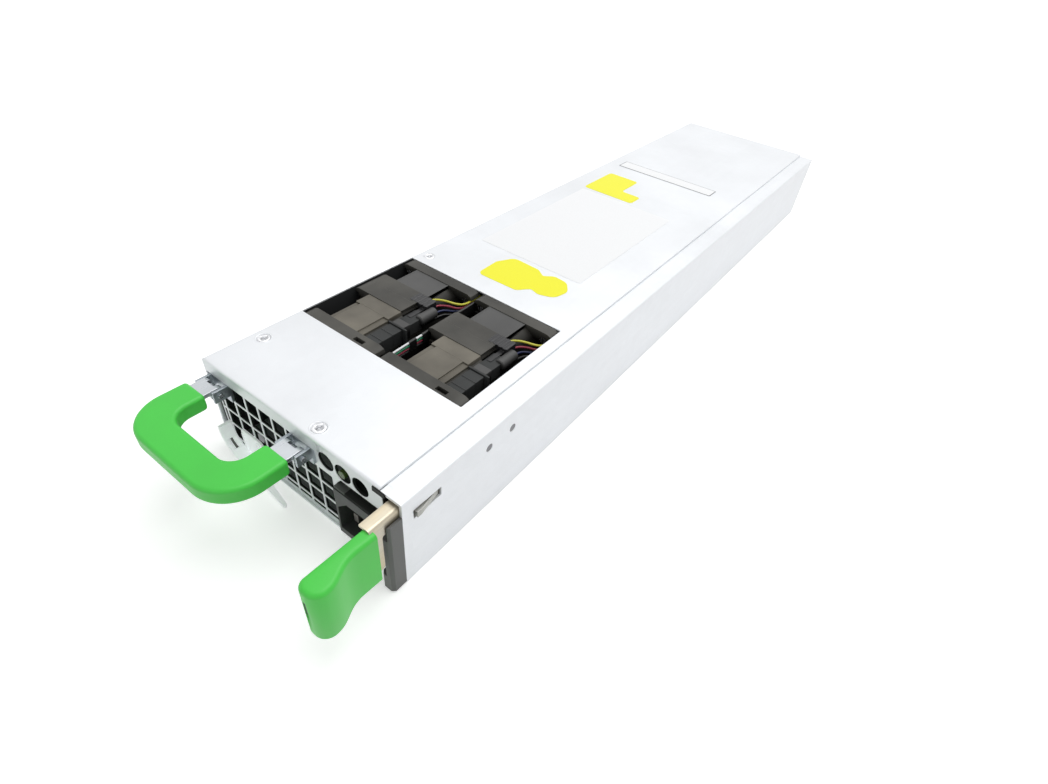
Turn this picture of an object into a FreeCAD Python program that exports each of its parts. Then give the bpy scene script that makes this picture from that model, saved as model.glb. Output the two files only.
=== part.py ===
"""A 1U hot swap server power supply: sheet steel case, twin counter-rotating fans, mains inlet,
folding carrying handle, thumb latch and the power stages inside.

Every piece is drawn in the case's corner frame, in millimetres: X from the left wall to the right,
Y from the front plate to the rear, Z up from the underside. The placement of each sub-part then
carries it to the middle of the underside, which is the origin of the finished assembly.
"""
import FreeCAD, Part
import Sketcher
import math
import os
import re

vec = FreeCAD.Vector

doc = FreeCAD.newDocument("PowerSupply")
sheet = doc.addObject("Spreadsheet::Sheet", "Sizes")

BODY_WIDE = 95.5
BODY_LONG = 400.0
BODY_TALL = 40.0
MAINS_CHANNEL = 16.3
FAN_SIDE = (BODY_WIDE - MAINS_CHANNEL) / 2

DRIVING = {
    "case": (
        ("body_wide", BODY_WIDE),
        ("body_long", BODY_LONG),
        ("body_tall", BODY_TALL),
        ("steel", 1.0),
        ("cover_wide", BODY_WIDE - 9.0),
        ("flange_step", 1.0),
        ("flange_start", 3.0),
        ("seam_gap", 0.4),
        ("bend_radius", 0.9),
        ("lip_wide", BODY_WIDE - 36.5),
        ("lip_deep", 5.3),
        ("fit_gap", 0.1),
        ("side_flange", 12),
        ("tab_wide", 8),
        ("screw_head", 3.4),
        ("screw_head_tall", 1.8),
        ("screw_shank", 1.5),
        ("screw_long", 5),
        ("cross_wide", 0.7),
        ("cross_deep", 0.9),
        ("side_screw_x", 5.4),
        ("front_screw_y", 20.5),
        ("rear_screw_y", 106),
        ("lip_screw_x", BODY_WIDE - 39.9),
        ("lip_screw_y", 4.4),
    ),
    "fans": (
        ("opening_front", 40.5),
        ("opening_rear", 99.4),
        ("opening_right", BODY_WIDE - 13.9),
        ("fan_side", FAN_SIDE),
        ("fan_left", 1.1),
        ("fan_pitch", FAN_SIDE + 1.2),
        ("fan_low", (BODY_TALL - FAN_SIDE) / 2),
        ("fan_start", 40.7),
        ("front_frame_long", 33.3),
        ("rear_frame_long", 25.2),
        ("fan_flange", 5.2),
        ("fan_band", 7.5),
        ("barrel_radius", FAN_SIDE / 2 - 0.2),
        ("plateau_left", 8.4),
        ("plateau_right", FAN_SIDE - 12.8),
        ("fan_bore", FAN_SIDE / 2 - 1.4),
        ("rotor_radius", FAN_SIDE / 2 - 2.0),
        ("hub_radius", 10),
        ("hub_wall", 1.2),
        ("rotor_long_front", 21),
        ("rotor_long_rear", 15),
        ("blade_thick", 0.9),
        ("motor_plate", 2.0),
        ("strut_wide", 2.4),
        ("shaft_radius", 1.0),
        ("shaft_play", 0.05),
        ("bearing_radius", 2.6),
        ("tube_wall", 1.0),
        ("stator_radius", 7.4),
        ("fan_screw_pitch", FAN_SIDE - 7.6),
        ("fan_screw_radius", 1.5),
        ("fan_screw_head", 2.3),
        ("fan_screw_head_tall", 1.6),
        ("tube_short", 3),
        ("stator_end_gap", 0.5),
        ("rotor_gap", 0.7),
        ("peg_radius", 2),
        ("peg_long", 8),
        ("peg_x", FAN_SIDE - 4.6),
        ("hook_wide", 1.8),
        ("hook_front", 5.5),
        ("hook_thick", 2.5),
        ("hook_head_long", 2.4),
        ("ac_gate_low", 6),
        ("ac_gate_top", 24),
        ("wire_notch_wide", 1.8),
        ("wire_notch_low", BODY_TALL - 7.4),
        ("wire_notch_high", BODY_TALL - 2.4),
        ("wire_radius", 0.45),
        ("ac_wire_radius", 1.3),
        ("port_lift", 0.8),
        ("port_run", 1),
        ("tier_low", BODY_TALL - 6.8),
        ("tier_step", 1.2),
        ("tier_fall", 6),
        ("gate_inset", 0.8),
        ("gate_before", 3.4),
        ("gate_past", 2.6),
        ("plug_first", 3),
        ("plug_step", 2),
        ("plug_deep", 2),
        ("signal_side", -0.2),
        ("signal_spread", BODY_WIDE - 72.5),
        ("signal_clear", 5.5),
        ("signal_turn", 4),
        ("signal_turn_y", 24),
        ("signal_line_y", 36),
        ("signal_low", 1),
        ("signal_rise", 0.6),
        ("ac_lane_first", 4.6),
        ("ac_lane_step", 2.8),
        ("ac_tag_run", 4),
        ("ac_height", 14),
        ("ac_ripple", 0.5),
        ("ac_run", 17),
        ("ac_reach", 10),
    ),
    "front": (
        ("grid_start", 4.8),
        ("grid_pitch", (BODY_WIDE - 36.86) / 8),
        ("grid_web", 0.9),
        ("grid_columns", 9),
        ("grid_rows", 5),
        ("grid_row_start", 4.0),
        ("grid_row_pitch", (BODY_TALL - 10.8) / 4),
        ("plate_right", BODY_WIDE - 9.1),
        ("hole_radius", 3.6),
        ("hole_start", BODY_WIDE - 34.4),
        ("hole_pitch", 7.8),
        ("hole_height", BODY_TALL - 8.8),
        ("inlet_left", BODY_WIDE - 30.5),
        ("inlet_right", BODY_WIDE - 5.5),
        ("inlet_top", BODY_TALL - 16.6),
        ("inlet_deep", 24),
        ("inlet_proud", 0.8),
        ("recess_wide", 23.0),
        ("recess_tall", 15.6),
        ("recess_low", 3.6),
        ("recess_chamfer", 4.6),
        ("recess_deep", 18),
        ("pin_wide", 4.0),
        ("pin_thick", 2.0),
        ("pin_pitch", 7.0),
        ("pin_long", 15),
        ("pin_lift", 2),
        ("tag_long", 6),
        ("ledge_low", BODY_TALL - 15.8),
        ("ledge_top", BODY_TALL - 13.0),
        ("ledge_slope", 2.4),
        ("post_left", BODY_WIDE - 5.2),
        ("post_deep", 5.6),
        ("post_top", BODY_TALL - 6.5),
        ("post_chamfer", 1.1),
        ("post_notch_low", 7.6),
        ("post_notch_top", 15.4),
        ("post_notch_deep", 2.6),
        ("post_root_deep", 6),
        ("bezel_proud", 0.4),
        ("ledge_deep", 6.6),
        ("strip_left", BODY_WIDE - 11.5),
        ("strip_right", BODY_WIDE - 6.5),
        ("strip_low", BODY_TALL - 2.9),
        ("strip_web", 2),
        ("led_board_y", 5),
        ("led_board_thick", 1.2),
        ("led_radius", 1.5),
        ("led_rim", 0.4),
        ("led_set_back", 0.6),
    ),
    "handle": (
        ("handle_middle", (BODY_WIDE - 36.7) / 2),
        ("strap_spread", 43),
        ("strap_wide", 7.8),
        ("strap_thick", 1.6),
        ("strap_top", BODY_TALL - 5.2),
        ("knuckle_radius", 2.5),
        ("hinge_out", 3.2),
        ("hinge_pin", 1.0),
        ("hinge_play", 0.06),
        ("pin_end", 0.6),
        ("grip_band", 11),
        ("grip_low", BODY_TALL - 10.4),
        ("grip_tall", 6.4),
        ("grip_start", 8),
        ("grip_reach", 31.4),
        ("grip_corner", 14),
        ("grip_inner_corner", 6),
        ("grip_edge", 1.4),
        ("ear_gap", 0.2),
        ("ear_radius", 2.3),
        ("bracket_drop", 5.3),
        ("lip_gap", 0.3),
        ("spring_wire", 0.35),
        ("spring_radius", 1.65),
        ("spring_pitch", 0.74),
    ),
    "latch": (
        ("leaf_thick", 0.9),
        ("leaf_gap", 0.3),
        ("leaf_low", BODY_TALL - 13.8),
        ("leaf_top", BODY_TALL - 4.0),
        ("leaf_flange", 4.3),
        ("leaf_front", 10.7),
        ("leaf_reach", 22.4),
        ("leaf_wing", 10),
        ("leaf_ramp", 2),
        ("leaf_room", 0.8),
        ("leaf_split", 0.6),
        ("neck_low", BODY_TALL - 9.3),
        ("leg_low", BODY_TALL - 24.5),
        ("leg_top", BODY_TALL - 18.0),
        ("leg_round", 1.1),
        ("leg_front", 9.3),
        ("leg_back", 6.6),
        ("flex_line", 34.6),
        ("root_end", 56),
        ("rivet_height", BODY_TALL - 8.8),
        ("rivet_first", 39.3),
        ("rivet_second", 51.8),
        ("rivet_radius", 1.6),
        ("rivet_rim", 0.9),
        ("rivet_head", 1.0),
        ("rivet_sunk", 0.15),
        ("tooth_front", 5.1),
        ("tooth_back", 15.5),
        ("tooth_low", BODY_TALL - 10.4),
        ("tooth_tall", 2.4),
        ("tooth_out", 1.0),
        ("tooth_flat", 1.6),
        ("tooth_room", 0.7),
        ("lever_low", BODY_TALL - 27.0),
        ("lever_top", BODY_TALL - 4.0),
        ("lever_left", BODY_WIDE - 5.0),
        ("lever_neck", BODY_WIDE),
        ("lever_bulge", BODY_WIDE + 3.4),
        ("lever_end", 32.7),
        ("lever_edge", 1.2),
        ("lever_round", 4.0),
        ("lever_waist", 13.5),
        ("lever_hollow", 0.5),
        ("lever_flare", 0.35),
        ("lever_overlap", 1.2),
        ("lever_slot_low", BODY_TALL - 18.5),
        ("lever_slot_top", BODY_TALL - 12.0),
        ("lever_slot_deep", 1.6),
    ),
    "clip": (
        ("clip_middle", (BODY_WIDE - 36.86) / 3.6 + 1.81),
        ("clip_height", 13.6),
        ("clip_radius", 11.8),
        ("clip_thick", 1.2),
        ("clip_deep", 5.0),
        ("clip_post", 2.6),
        ("clip_barb", 0.9),
        ("clip_mouth", 1.4),
        ("clip_slot_left", 10.4),
        ("clip_slot_wide", 5.0),
        ("clip_slot_top", 8.5),
        ("clip_slot_front", 3.2),
        ("clip_slot_thick", 1.3),
        ("clip_pad", 6),
        ("tongue_tip", 44),
        ("tongue_knee", 32.9),
        ("tongue_out", 7.3),
        ("tongue_end", 1.4),
        ("tongue_back", 0.8),
    ),
    "inside": (
        ("board_low", 4.0),
        ("board_thick", 1.6),
        ("board_front", 103),
        ("board_back", BODY_LONG - 10.0),
        ("board_left", 3.4),
        ("board_right", BODY_WIDE - 2.9),
        ("board_inset", 5),
        ("post_radius", 3.0),
        ("bulk_radius", BODY_TALL / 2 - 5.5),
        ("bulk_long", 52),
        ("rear_inset", 1.5),
        ("connector_left", 14),
        ("connector_wide", BODY_WIDE - 33.5),
        ("connector_low", 6.4),
        ("connector_tall", 13),
        ("connector_out", 7),
        ("contact_pitch", 7.4),
        ("contact_count", 6),
        ("connector_seat", 8),
        ("connector_wall", 2),
        ("vent_wide", 2.6),
        ("vent_pitch", 4.6),
        ("vent_start", 6),
        ("vent_margin", 3),
        ("contact_thick", 0.8),
        ("contact_slot", 3.2),
        ("contact_inset", 6),
        ("contact_back", 4),
        ("signal_pitch", 1.7),
        ("signal_thick", 0.6),
        ("signal_row", 3.0),
        ("board_screw", 1.4),
        ("board_screw_head", 2.8),
        ("board_screw_tall", 1.9),
        ("film_thick", 0.4),
    ),
    "board parts": (
        ("header_tall", 7),
        ("header_long", 9.2),
        ("header_wide", 6),
        ("header_y", 4),
        ("choke_x", BODY_WIDE - 23.5),
        ("choke_radius", 8.6),
        ("choke_wire", 4.6),
        ("choke_first", 26),
        ("choke_pitch", 30),
        ("film_left", 44),
        ("film_wide", 10),
        ("film_long", 26),
        ("film_tall", 19),
        ("film_first", 14),
        ("film_pitch", 30),
        ("bridge_left", 22),
        ("bridge_wide", 5),
        ("bridge_first", 16),
        ("bridge_long", 30),
        ("bridge_tall", 22),
        ("coil_x", 24),
        ("coil_y", 70),
        ("coil_radius", 13),
        ("coil_wire", 6.4),
        ("bulk_x", 22),
        ("bulk_pitch", 32),
        ("bulk_y", 96),
        ("sink_tall", BODY_TALL - 11.0),
        ("sink_plate", 2),
        ("sink_fin", 1.4),
        ("sink_reach", 7),
        ("sink_pitch", 5),
        ("sink_fins", 16),
        ("sink_right", BODY_WIDE - 14.5),
        ("sink_right_y", 84),
        ("sink_left", 14),
        ("sink_left_y", 172),
        ("device_first", 4),
        ("device_pitch", 24),
        ("device_wide", 15),
        ("device_thick", 4.6),
        ("device_tall", 20),
        ("core_left", 44),
        ("core_wide", BODY_WIDE - 61.5),
        ("core_y", 176),
        ("core_long", 32),
        ("core_tall", BODY_TALL - 10.0),
        ("core_limb", 6),
        ("winding_proud", 2),
        ("ring_x", BODY_WIDE - 29.5),
        ("ring_y", BODY_LONG - 170.0),
        ("ring_radius", 8.8),
        ("ring_wire", 5.2),
        ("can_x", 33),
        ("can_pitch_x", 11.4),
        ("can_y", BODY_LONG - 172.0),
        ("can_pitch", 12),
        ("can_radius", 5),
        ("can_tall", 22),
        ("control_x", BODY_WIDE - 13.5),
        ("control_thick", 1.4),
        ("control_y", BODY_LONG - 222.0),
        ("control_long", 84),
    ),
}

VALUES = {}
for column, (heading, rows) in zip("ADGJMPSV", DRIVING.items()):
    value_column = chr(ord(column) + 1)
    sheet.set(f"{column}1", heading)
    for row, (alias, value) in enumerate(rows, start=2):
        sheet.set(f"{column}{row}", alias)
        sheet.set(f"{value_column}{row}", str(value))
        sheet.setAlias(f"{value_column}{row}", alias)
        VALUES[alias] = value
doc.recompute()

WORD = re.compile(r"[a-z][a-z_]*[a-z]")


def bound(text):
    """An expression in which each size's name points at its cell."""
    return WORD.sub(lambda word: "Sizes." + word[0] if word[0] in VALUES else word[0], str(text))


def size(text):
    """The number that an expression of named sizes stands for."""
    plain = WORD.sub(lambda word: f"({VALUES[word[0]]})", str(text))
    return float(FreeCAD.Units.Quantity(plain).Value)


def place(item, x, y, z):
    for letter, where in zip("xyz", (x, y, z)):
        item.setExpression(f"Placement.Base.{letter}", bound(where))


def slab(x, y, z):
    """A block between two expressions along each axis."""
    item = doc.addObject("Part::Box", "Block")
    place(item, x[0], y[0], z[0])
    for name, (low, high) in zip(("Length", "Width", "Height"), (x, y, z)):
        item.setExpression(name, bound(f"({high}) - ({low})"))
    return item


TURNS = {
    "X": FreeCAD.Rotation(vec(0, 1, 0), 90),
    "Y": FreeCAD.Rotation(vec(1, 0, 0), -90),
    "Z": FreeCAD.Rotation(),
}


def rod(axis, x, y, z, radius, length):
    """A cylinder that starts at a point and runs along an axis."""
    item = doc.addObject("Part::Cylinder", "Rod")
    item.Placement = FreeCAD.Placement(vec(), TURNS[axis])
    place(item, x, y, z)
    item.setExpression("Radius", bound(radius))
    item.setExpression("Height", bound(length))
    return item


def cone(axis, x, y, z, near, far, length):
    item = doc.addObject("Part::Cone", "Cone")
    item.Placement = FreeCAD.Placement(vec(), TURNS[axis])
    place(item, x, y, z)
    item.setExpression("Radius1", bound(near))
    item.setExpression("Radius2", bound(far))
    item.setExpression("Height", bound(length))
    return item


def ring(axis, x, y, z, radius, wire):
    item = doc.addObject("Part::Torus", "Ring")
    item.Placement = FreeCAD.Placement(vec(), TURNS[axis])
    place(item, x, y, z)
    item.setExpression("Radius1", bound(radius))
    item.setExpression("Radius2", bound(wire))
    return item


def group(items):
    if len(items) == 1:
        return items[0]
    item = doc.addObject("Part::Compound", "Group")
    item.Links = list(items)
    return item


def cut(base, *tools):
    item = doc.addObject("Part::Cut", "Cut")
    item.Base = base
    item.Tool = group(tools)
    return item


def fuse(*items):
    item = doc.addObject("Part::MultiFuse", "Fuse")
    item.Shapes = list(items)
    item.Refine = True
    return item


def common(first, second):
    item = doc.addObject("Part::Common", "Common")
    item.Base = first
    item.Tool = second
    return item


def drawn(shape):
    """A piece of free form whose shape is worked out from the named sizes."""
    item = doc.addObject("Part::Feature", "Drawn")
    item.Shape = shape
    return item


PAST = 1  # how far a cutting tool runs past the face it cuts
TOUCH = 0.05  # how near two places lie that count as one
BITE = 0.4  # how far a joined piece reaches into the one it grows from
PLANES = {"XY": 1, "XZ": -1, "YZ": 1}


def outline_pad(plane, corners, start, depth):
    """A body padded from a closed outline of straight sides, each corner held by two distances."""
    body = doc.addObject("PartDesign::Body", "Body")
    base = [item for item in body.Origin.OriginFeatures if item.Role == f"{plane}_Plane"][0]
    sketch = body.newObject("Sketcher::SketchObject", "Outline")
    sketch.AttachmentSupport = (base, "")
    sketch.MapMode = "FlatFace"
    sketch.setExpression("AttachmentOffset.Base.z", bound(f"{PLANES[plane]} * ({start})"))
    points = [vec(size(a), size(b), 0) for a, b in corners]
    for index, point in enumerate(points):
        sketch.addGeometry(Part.LineSegment(point, points[(index + 1) % len(points)]), False)
    count = len(points)
    for index in range(count):
        sketch.addConstraint(Sketcher.Constraint("Coincident", index, 2, (index + 1) % count, 1))
    for index, corner in enumerate(corners):
        for kind, where, now in zip(("DistanceX", "DistanceY"), corner, points[index]):
            held = sketch.addConstraint(Sketcher.Constraint(kind, -1, 1, index, 1, now))
            sketch.setExpression(f"Constraints[{held}]", bound(where))
    pad = body.newObject("PartDesign::Pad", "Pad")
    pad.Profile = sketch
    pad.setExpression("Length", bound(depth))
    pad.Reversed = PLANES[plane] < 0
    sketch.Visibility = False
    body.Tip = pad
    doc.recompute()
    return body


def rounded(body, radius, chosen):
    """A fillet on the edges of a body that a test chooses."""
    last = body.Tip
    names = [f"Edge{index}" for index, edge in enumerate(last.Shape.Edges, start=1) if chosen(edge)]
    fillet = body.newObject("PartDesign::Fillet", "Fillet")
    fillet.Base = (last, names)
    fillet.setExpression("Radius", bound(radius))
    body.Tip = fillet
    doc.recompute()
    return body


def runs_along(edge, axis):
    """True for a straight edge that is parallel to an axis."""
    if not isinstance(edge.Curve, Part.Line):
        return False
    return abs(edge.Curve.Direction.dot(axis)) > 0.999


def at_point(edge, **where):
    """True for an edge whose middle has the stated coordinates."""
    middle = edge.CenterOfMass
    return all(abs(getattr(middle, letter) - value) < TOUCH for letter, value in where.items())


PIECES = []


def piece(label, *items):
    """A finished sub-part: its solids, carried from the case's corner to the assembly's origin."""
    item = doc.addObject("Part::Compound", label)
    item.Label = label
    item.Links = list(items)
    place(item, "-body_wide / 2", "-body_long / 2", "0")
    PIECES.append(item)
    return item


def tube(label, points, radius):
    """A wire along straight runs that tangent arcs join."""
    spots = [vec(*(size(part) for part in point)) for point in points]
    edges = []
    start = spots[0]
    tightest = math.inf
    for before, corner, after in zip(spots, spots[1:], spots[2:]):
        back = before - corner
        ahead = after - corner
        short = 0.45 * min(back.Length, ahead.Length)
        half_turn = (math.pi - back.getAngle(ahead)) / 2
        bend = short / math.tan(half_turn)
        tightest = min(tightest, bend)
        back.normalize()
        ahead.normalize()
        enter = corner + back * short
        leave = corner + ahead * short
        bisector = back + ahead
        bisector.normalize()
        middle = corner + bisector * (bend / math.cos(half_turn) - bend)
        edges.append(Part.LineSegment(start, enter).toShape())
        edges.append(Part.Arc(enter, middle, leave).toShape())
        start = leave
    edges.append(Part.LineSegment(start, spots[-1]).toShape())
    path = Part.Wire(edges)
    first = spots[1] - spots[0]
    profile = Part.Wire([Part.makeCircle(size(radius), spots[0], first)])
    solid = path.makePipeShell([profile], True, False)
    expected = math.pi * size(radius) ** 2 * path.Length
    print(f"{label}: length {path.Length:.1f}, tightest radius {tightest:.1f}, "
          f"volume ratio {solid.Volume / expected:.3f}")
    return drawn(solid)


# Case: tray, cover and the screws between them

TOP = "body_tall"
UNDER_COVER = "body_tall - steel"
WALL_IN = "body_wide - steel"
FLANGE_TOP = "body_tall - flange_step"
TRAY_LEFT = "steel + fit_gap"
FLANGE_LEFT = "cover_wide + seam_gap"

tray_profile = (
    (TRAY_LEFT, "0"),
    ("body_wide", "0"),
    ("body_wide", FLANGE_TOP),
    (FLANGE_LEFT, FLANGE_TOP),
    (FLANGE_LEFT, f"{FLANGE_TOP} - steel"),
    (WALL_IN, f"{FLANGE_TOP} - steel"),
    (WALL_IN, "steel"),
    (TRAY_LEFT, "steel"),
)
tray_body = outline_pad("XZ", tray_profile, "0", "body_long")
rounded(tray_body, "bend_radius",
        lambda edge: at_point(edge, x=size("body_wide"), z=size(FLANGE_TOP)))


def flange_tab(y):
    """A side-flange tab bent over under the cover, with the screw's hole in it."""
    return slab((f"{TRAY_LEFT} + steel", "side_screw_x + tab_wide / 2"),
                (f"{y} - tab_wide / 2", f"{y} + tab_wide / 2"),
                (f"{UNDER_COVER} - steel", UNDER_COVER))


def flange_riser(y):
    return slab((TRAY_LEFT, f"{TRAY_LEFT} + steel"),
                (f"{y} - tab_wide / 2", f"{y} + tab_wide / 2"), ("steel", UNDER_COVER))


HOLE_COUNT = 3
FRONT_PLATE = "steel"
FRONT_PLATE_BACK = "2 * steel"
REAR_PLATE_BACK = "body_long - rear_inset"
REAR_PLATE = "body_long - rear_inset - steel"

side_flanges = [
    slab((TRAY_LEFT, f"{TRAY_LEFT} + steel"), (f"{FRONT_PLATE_BACK} + fit_gap", "opening_front - steel"),
         ("steel", "side_flange")),
    slab((TRAY_LEFT, f"{TRAY_LEFT} + steel"), ("opening_rear + 2 * steel", f"{REAR_PLATE} - fit_gap"),
         ("steel", "side_flange")),
]
SIDE_SCREWS = ("front_screw_y", "rear_screw_y")
tabs = [part(y) for y in SIDE_SCREWS for part in (flange_tab, flange_riser)]
tray_solid = fuse(tray_body, *side_flanges, *tabs)


def screw_solid(x, y):
    """A countersunk cover screw with a cross recess, flush with the cover."""
    head = cone("Z", x, y, f"{TOP} - screw_head_tall", "screw_shank", "screw_head", "screw_head_tall")
    shank = rod("Z", x, y, f"{TOP} - screw_long", "screw_shank", "screw_long - screw_head_tall")
    depth = (f"{TOP} - cross_deep", f"{TOP} + {PAST}")
    cross = [slab((f"{x} - screw_head / 2", f"{x} + screw_head / 2"),
                  (f"{y} - cross_wide / 2", f"{y} + cross_wide / 2"), depth),
             slab((f"{x} - cross_wide / 2", f"{x} + cross_wide / 2"),
                  (f"{y} - screw_head / 2", f"{y} + screw_head / 2"), depth)]
    return cut(fuse(head, shank), *cross)


def screw_hole(x, y):
    """The space that a cover screw takes."""
    head = cone("Z", x, y, f"{TOP} - screw_head_tall", "screw_shank", "screw_head", "screw_head_tall")
    shank = rod("Z", x, y, f"{TOP} - screw_long - {PAST}", "screw_shank",
                f"screw_long + {PAST} - screw_head_tall")
    return fuse(head, shank)


COVER_SCREWS = [("side_screw_x", y) for y in SIDE_SCREWS] + [("lip_screw_x", "lip_screw_y")]

TOOTH_SLOT = (("tooth_front - tooth_room", "tooth_back + tooth_room"),
              ("tooth_low - tooth_room", "tooth_low + tooth_tall + tooth_room"))
tray_cuts = [
    slab((f"{TRAY_LEFT} - {PAST}", "opening_right"), ("opening_front", "opening_rear"),
         (f"-{PAST}", f"steel + {PAST}")),
    slab((f"{WALL_IN} - {PAST}", f"body_wide + {PAST}"), *TOOTH_SLOT),
    slab((f"{FLANGE_LEFT} - {PAST}", "strip_right + fit_gap"), (f"-{PAST}", "flange_start"),
         (f"{FLANGE_TOP} - steel - {PAST}", f"{FLANGE_TOP} + {PAST}")),
]
tray_cuts += [rod("X", f"{WALL_IN} - {PAST}", y, "rivet_height", "rivet_radius", f"steel + 2 * {PAST}")
              for y in ("rivet_first", "rivet_second")]
tray_cuts += [screw_hole("side_screw_x", y) for y in SIDE_SCREWS]
piece("base_tray", cut(tray_solid, *tray_cuts))

cover_profile = (
    ("0", "0"),
    ("0", TOP),
    ("cover_wide", TOP),
    ("cover_wide", UNDER_COVER),
    ("steel", UNDER_COVER),
    ("steel", "0"),
)
cover_body = outline_pad("XZ", cover_profile, "0", "body_long")
rounded(cover_body, "bend_radius", lambda edge: at_point(edge, x=0, z=size(TOP)))
cover_lip = slab(("steel", "lip_wide"), ("0", "steel"), (f"{TOP} - lip_deep", UNDER_COVER))
fan_opening = slab(("steel", "opening_right"), ("opening_front", "opening_rear"),
                   (f"{UNDER_COVER} - {PAST}", f"{TOP} + {PAST}"))
piece("top_cover", cut(fuse(cover_body, cover_lip), fan_opening,
                       *[screw_hole(x, y) for x, y in COVER_SCREWS]))
piece("cover_screws", *[screw_solid(x, y) for x, y in COVER_SCREWS])

# Front plate: square air grid, three round holes, cut-out for the inlet

PLATE_LEFT = f"{TRAY_LEFT} + steel + fit_gap"
PLATE_SPAN = (FRONT_PLATE, FRONT_PLATE_BACK)
LEAF_OUT = f"{WALL_IN} - leaf_gap"
LEAF_IN = f"{LEAF_OUT} - leaf_thick"
THROUGH_PLATE = (f"{FRONT_PLATE} - {PAST}", f"{FRONT_PLATE_BACK} + {PAST}")


def grid_line(index):
    """The middle of a wire between two columns of the air grid; the first one stands at the edge."""
    return f"{PLATE_LEFT} + grid_web / 2" if index == 0 else f"grid_start + {index - 1} * grid_pitch"


def row_line(index):
    """The middle of a wire between two rows of the air grid."""
    return "steel + grid_web / 2" if index == 0 else f"grid_row_start + {index - 1} * grid_row_pitch"


grille_plate = slab((PLATE_LEFT, "plate_right"), PLATE_SPAN, ("steel", UNDER_COVER))
inlet_window = outline_pad("XZ", (
    ("inlet_left", "0"),
    (f"plate_right + {PAST}", "0"),
    (f"plate_right + {PAST}", "ledge_top + fit_gap"),
    ("inlet_left + ledge_slope", "ledge_top + fit_gap"),
    ("inlet_left", "ledge_low"),
), THROUGH_PLATE[0], f"steel + 2 * {PAST}")
strip_notch = slab(("strip_left - fit_gap", f"plate_right + {PAST}"), THROUGH_PLATE,
                   ("strip_low - fit_gap", TOP))
plate_cuts = [inlet_window, strip_notch]
for index in range(HOLE_COUNT):
    plate_cuts.append(rod("Y", f"hole_start + {index} * hole_pitch", THROUGH_PLATE[0], "hole_height",
                          "hole_radius", f"steel + 2 * {PAST}"))
for column in range(VALUES["grid_columns"]):
    right = f"{grid_line(column + 1)} - grid_web / 2"
    for row in range(VALUES["grid_rows"]):
        top = f"{row_line(row + 1)} - grid_web / 2"
        beside_hole = size(right) > size("hole_start - hole_radius - grid_web")
        if beside_hole and size(top) > size("hole_height - hole_radius"):
            continue
        plate_cuts.append(slab((f"{grid_line(column)} + grid_web / 2", right), THROUGH_PLATE,
                               (f"{row_line(row)} + grid_web / 2", top)))
lip_tab = slab(("lip_screw_x - tab_wide / 2", "lip_screw_x + tab_wide / 2"),
               (FRONT_PLATE_BACK, "lip_screw_y + screw_head"), (f"{UNDER_COVER} - steel", UNDER_COVER))
piece("front_grille", cut(fuse(grille_plate, lip_tab), *plate_cuts, screw_hole("lip_screw_x", "lip_screw_y")))

# Mains inlet with its three blades, and the black bezel beside and above it

INLET_MIDDLE = "(inlet_left + inlet_right) / 2"
RECESS_LEFT = f"{INLET_MIDDLE} - recess_wide / 2"
RECESS_RIGHT = f"{INLET_MIDDLE} + recess_wide / 2"
RECESS_TOP = "recess_low + recess_tall"
INLET_FACE = "-inlet_proud"
inlet_block = slab(("inlet_left + fit_gap", "inlet_right"), (INLET_FACE, f"{INLET_FACE} + inlet_deep"),
                   ("steel", "inlet_top"))
recess = outline_pad("XZ", (
    (RECESS_LEFT, "recess_low"),
    (RECESS_RIGHT, "recess_low"),
    (RECESS_RIGHT, f"{RECESS_TOP} - recess_chamfer"),
    (f"{RECESS_RIGHT} - recess_chamfer", RECESS_TOP),
    (f"{RECESS_LEFT} + recess_chamfer", RECESS_TOP),
    (RECESS_LEFT, f"{RECESS_TOP} - recess_chamfer"),
), f"{INLET_FACE} - {PAST}", f"recess_deep + {PAST}")
RECESS_FLOOR = f"{INLET_FACE} + recess_deep"
PIN_BACK = f"{INLET_FACE} + inlet_deep + tag_long"


def inlet_blade(step, lift):
    """One contact blade, standing in the recess and ending as a solder tag behind the block."""
    middle = f"{INLET_MIDDLE} + {step} * pin_pitch"
    height = f"recess_low + recess_tall / 2 + ({lift})"
    return slab((f"{middle} - pin_thick / 2", f"{middle} + pin_thick / 2"),
                (f"{RECESS_FLOOR} - pin_long", PIN_BACK),
                (f"{height} - pin_wide / 2", f"{height} + pin_wide / 2"))


BLADES = ((-1, "-pin_lift"), (0, "pin_lift"), (1, "-pin_lift"))
piece("ac_inlet", cut(inlet_block, recess, *[inlet_blade(*spot) for spot in BLADES]))
piece("inlet_pins", *[inlet_blade(*spot) for spot in BLADES])

post_profile = (
    ("post_left", "-post_deep + post_chamfer"),
    ("post_left + post_chamfer", "-post_deep"),
    ("body_wide - post_chamfer", "-post_deep"),
    ("body_wide", "-post_deep + post_chamfer"),
    ("body_wide", "0"),
    ("post_left", "0"),
)
post = outline_pad("XY", post_profile, "steel / 2", "post_top - steel / 2")
post_relief = slab((f"post_left - {PAST}", f"{WALL_IN} + fit_gap"), (f"-post_deep - {PAST}", f"{PAST}"),
                   ("ledge_top + fit_gap", f"post_top + {PAST}"))
post_notch = slab((f"post_left - {PAST}", "post_left + post_notch_deep"),
                  (f"-post_deep - {PAST}", "-post_deep + post_notch_deep"),
                  ("post_notch_low", "post_notch_top"))
post_root = slab(("post_left", f"{WALL_IN} - fit_gap"), ("-bezel_proud", "post_root_deep"),
                 ("steel", "leaf_low - leaf_room"))
LEDGE_SPAN = ("inlet_left + fit_gap", f"{WALL_IN} - 3 * steel")
BEHIND_PLATE = f"{FRONT_PLATE_BACK} + fit_gap"
ledge = slab(LEDGE_SPAN, ("-bezel_proud", "ledge_deep"), ("inlet_top", "ledge_low"))
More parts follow.
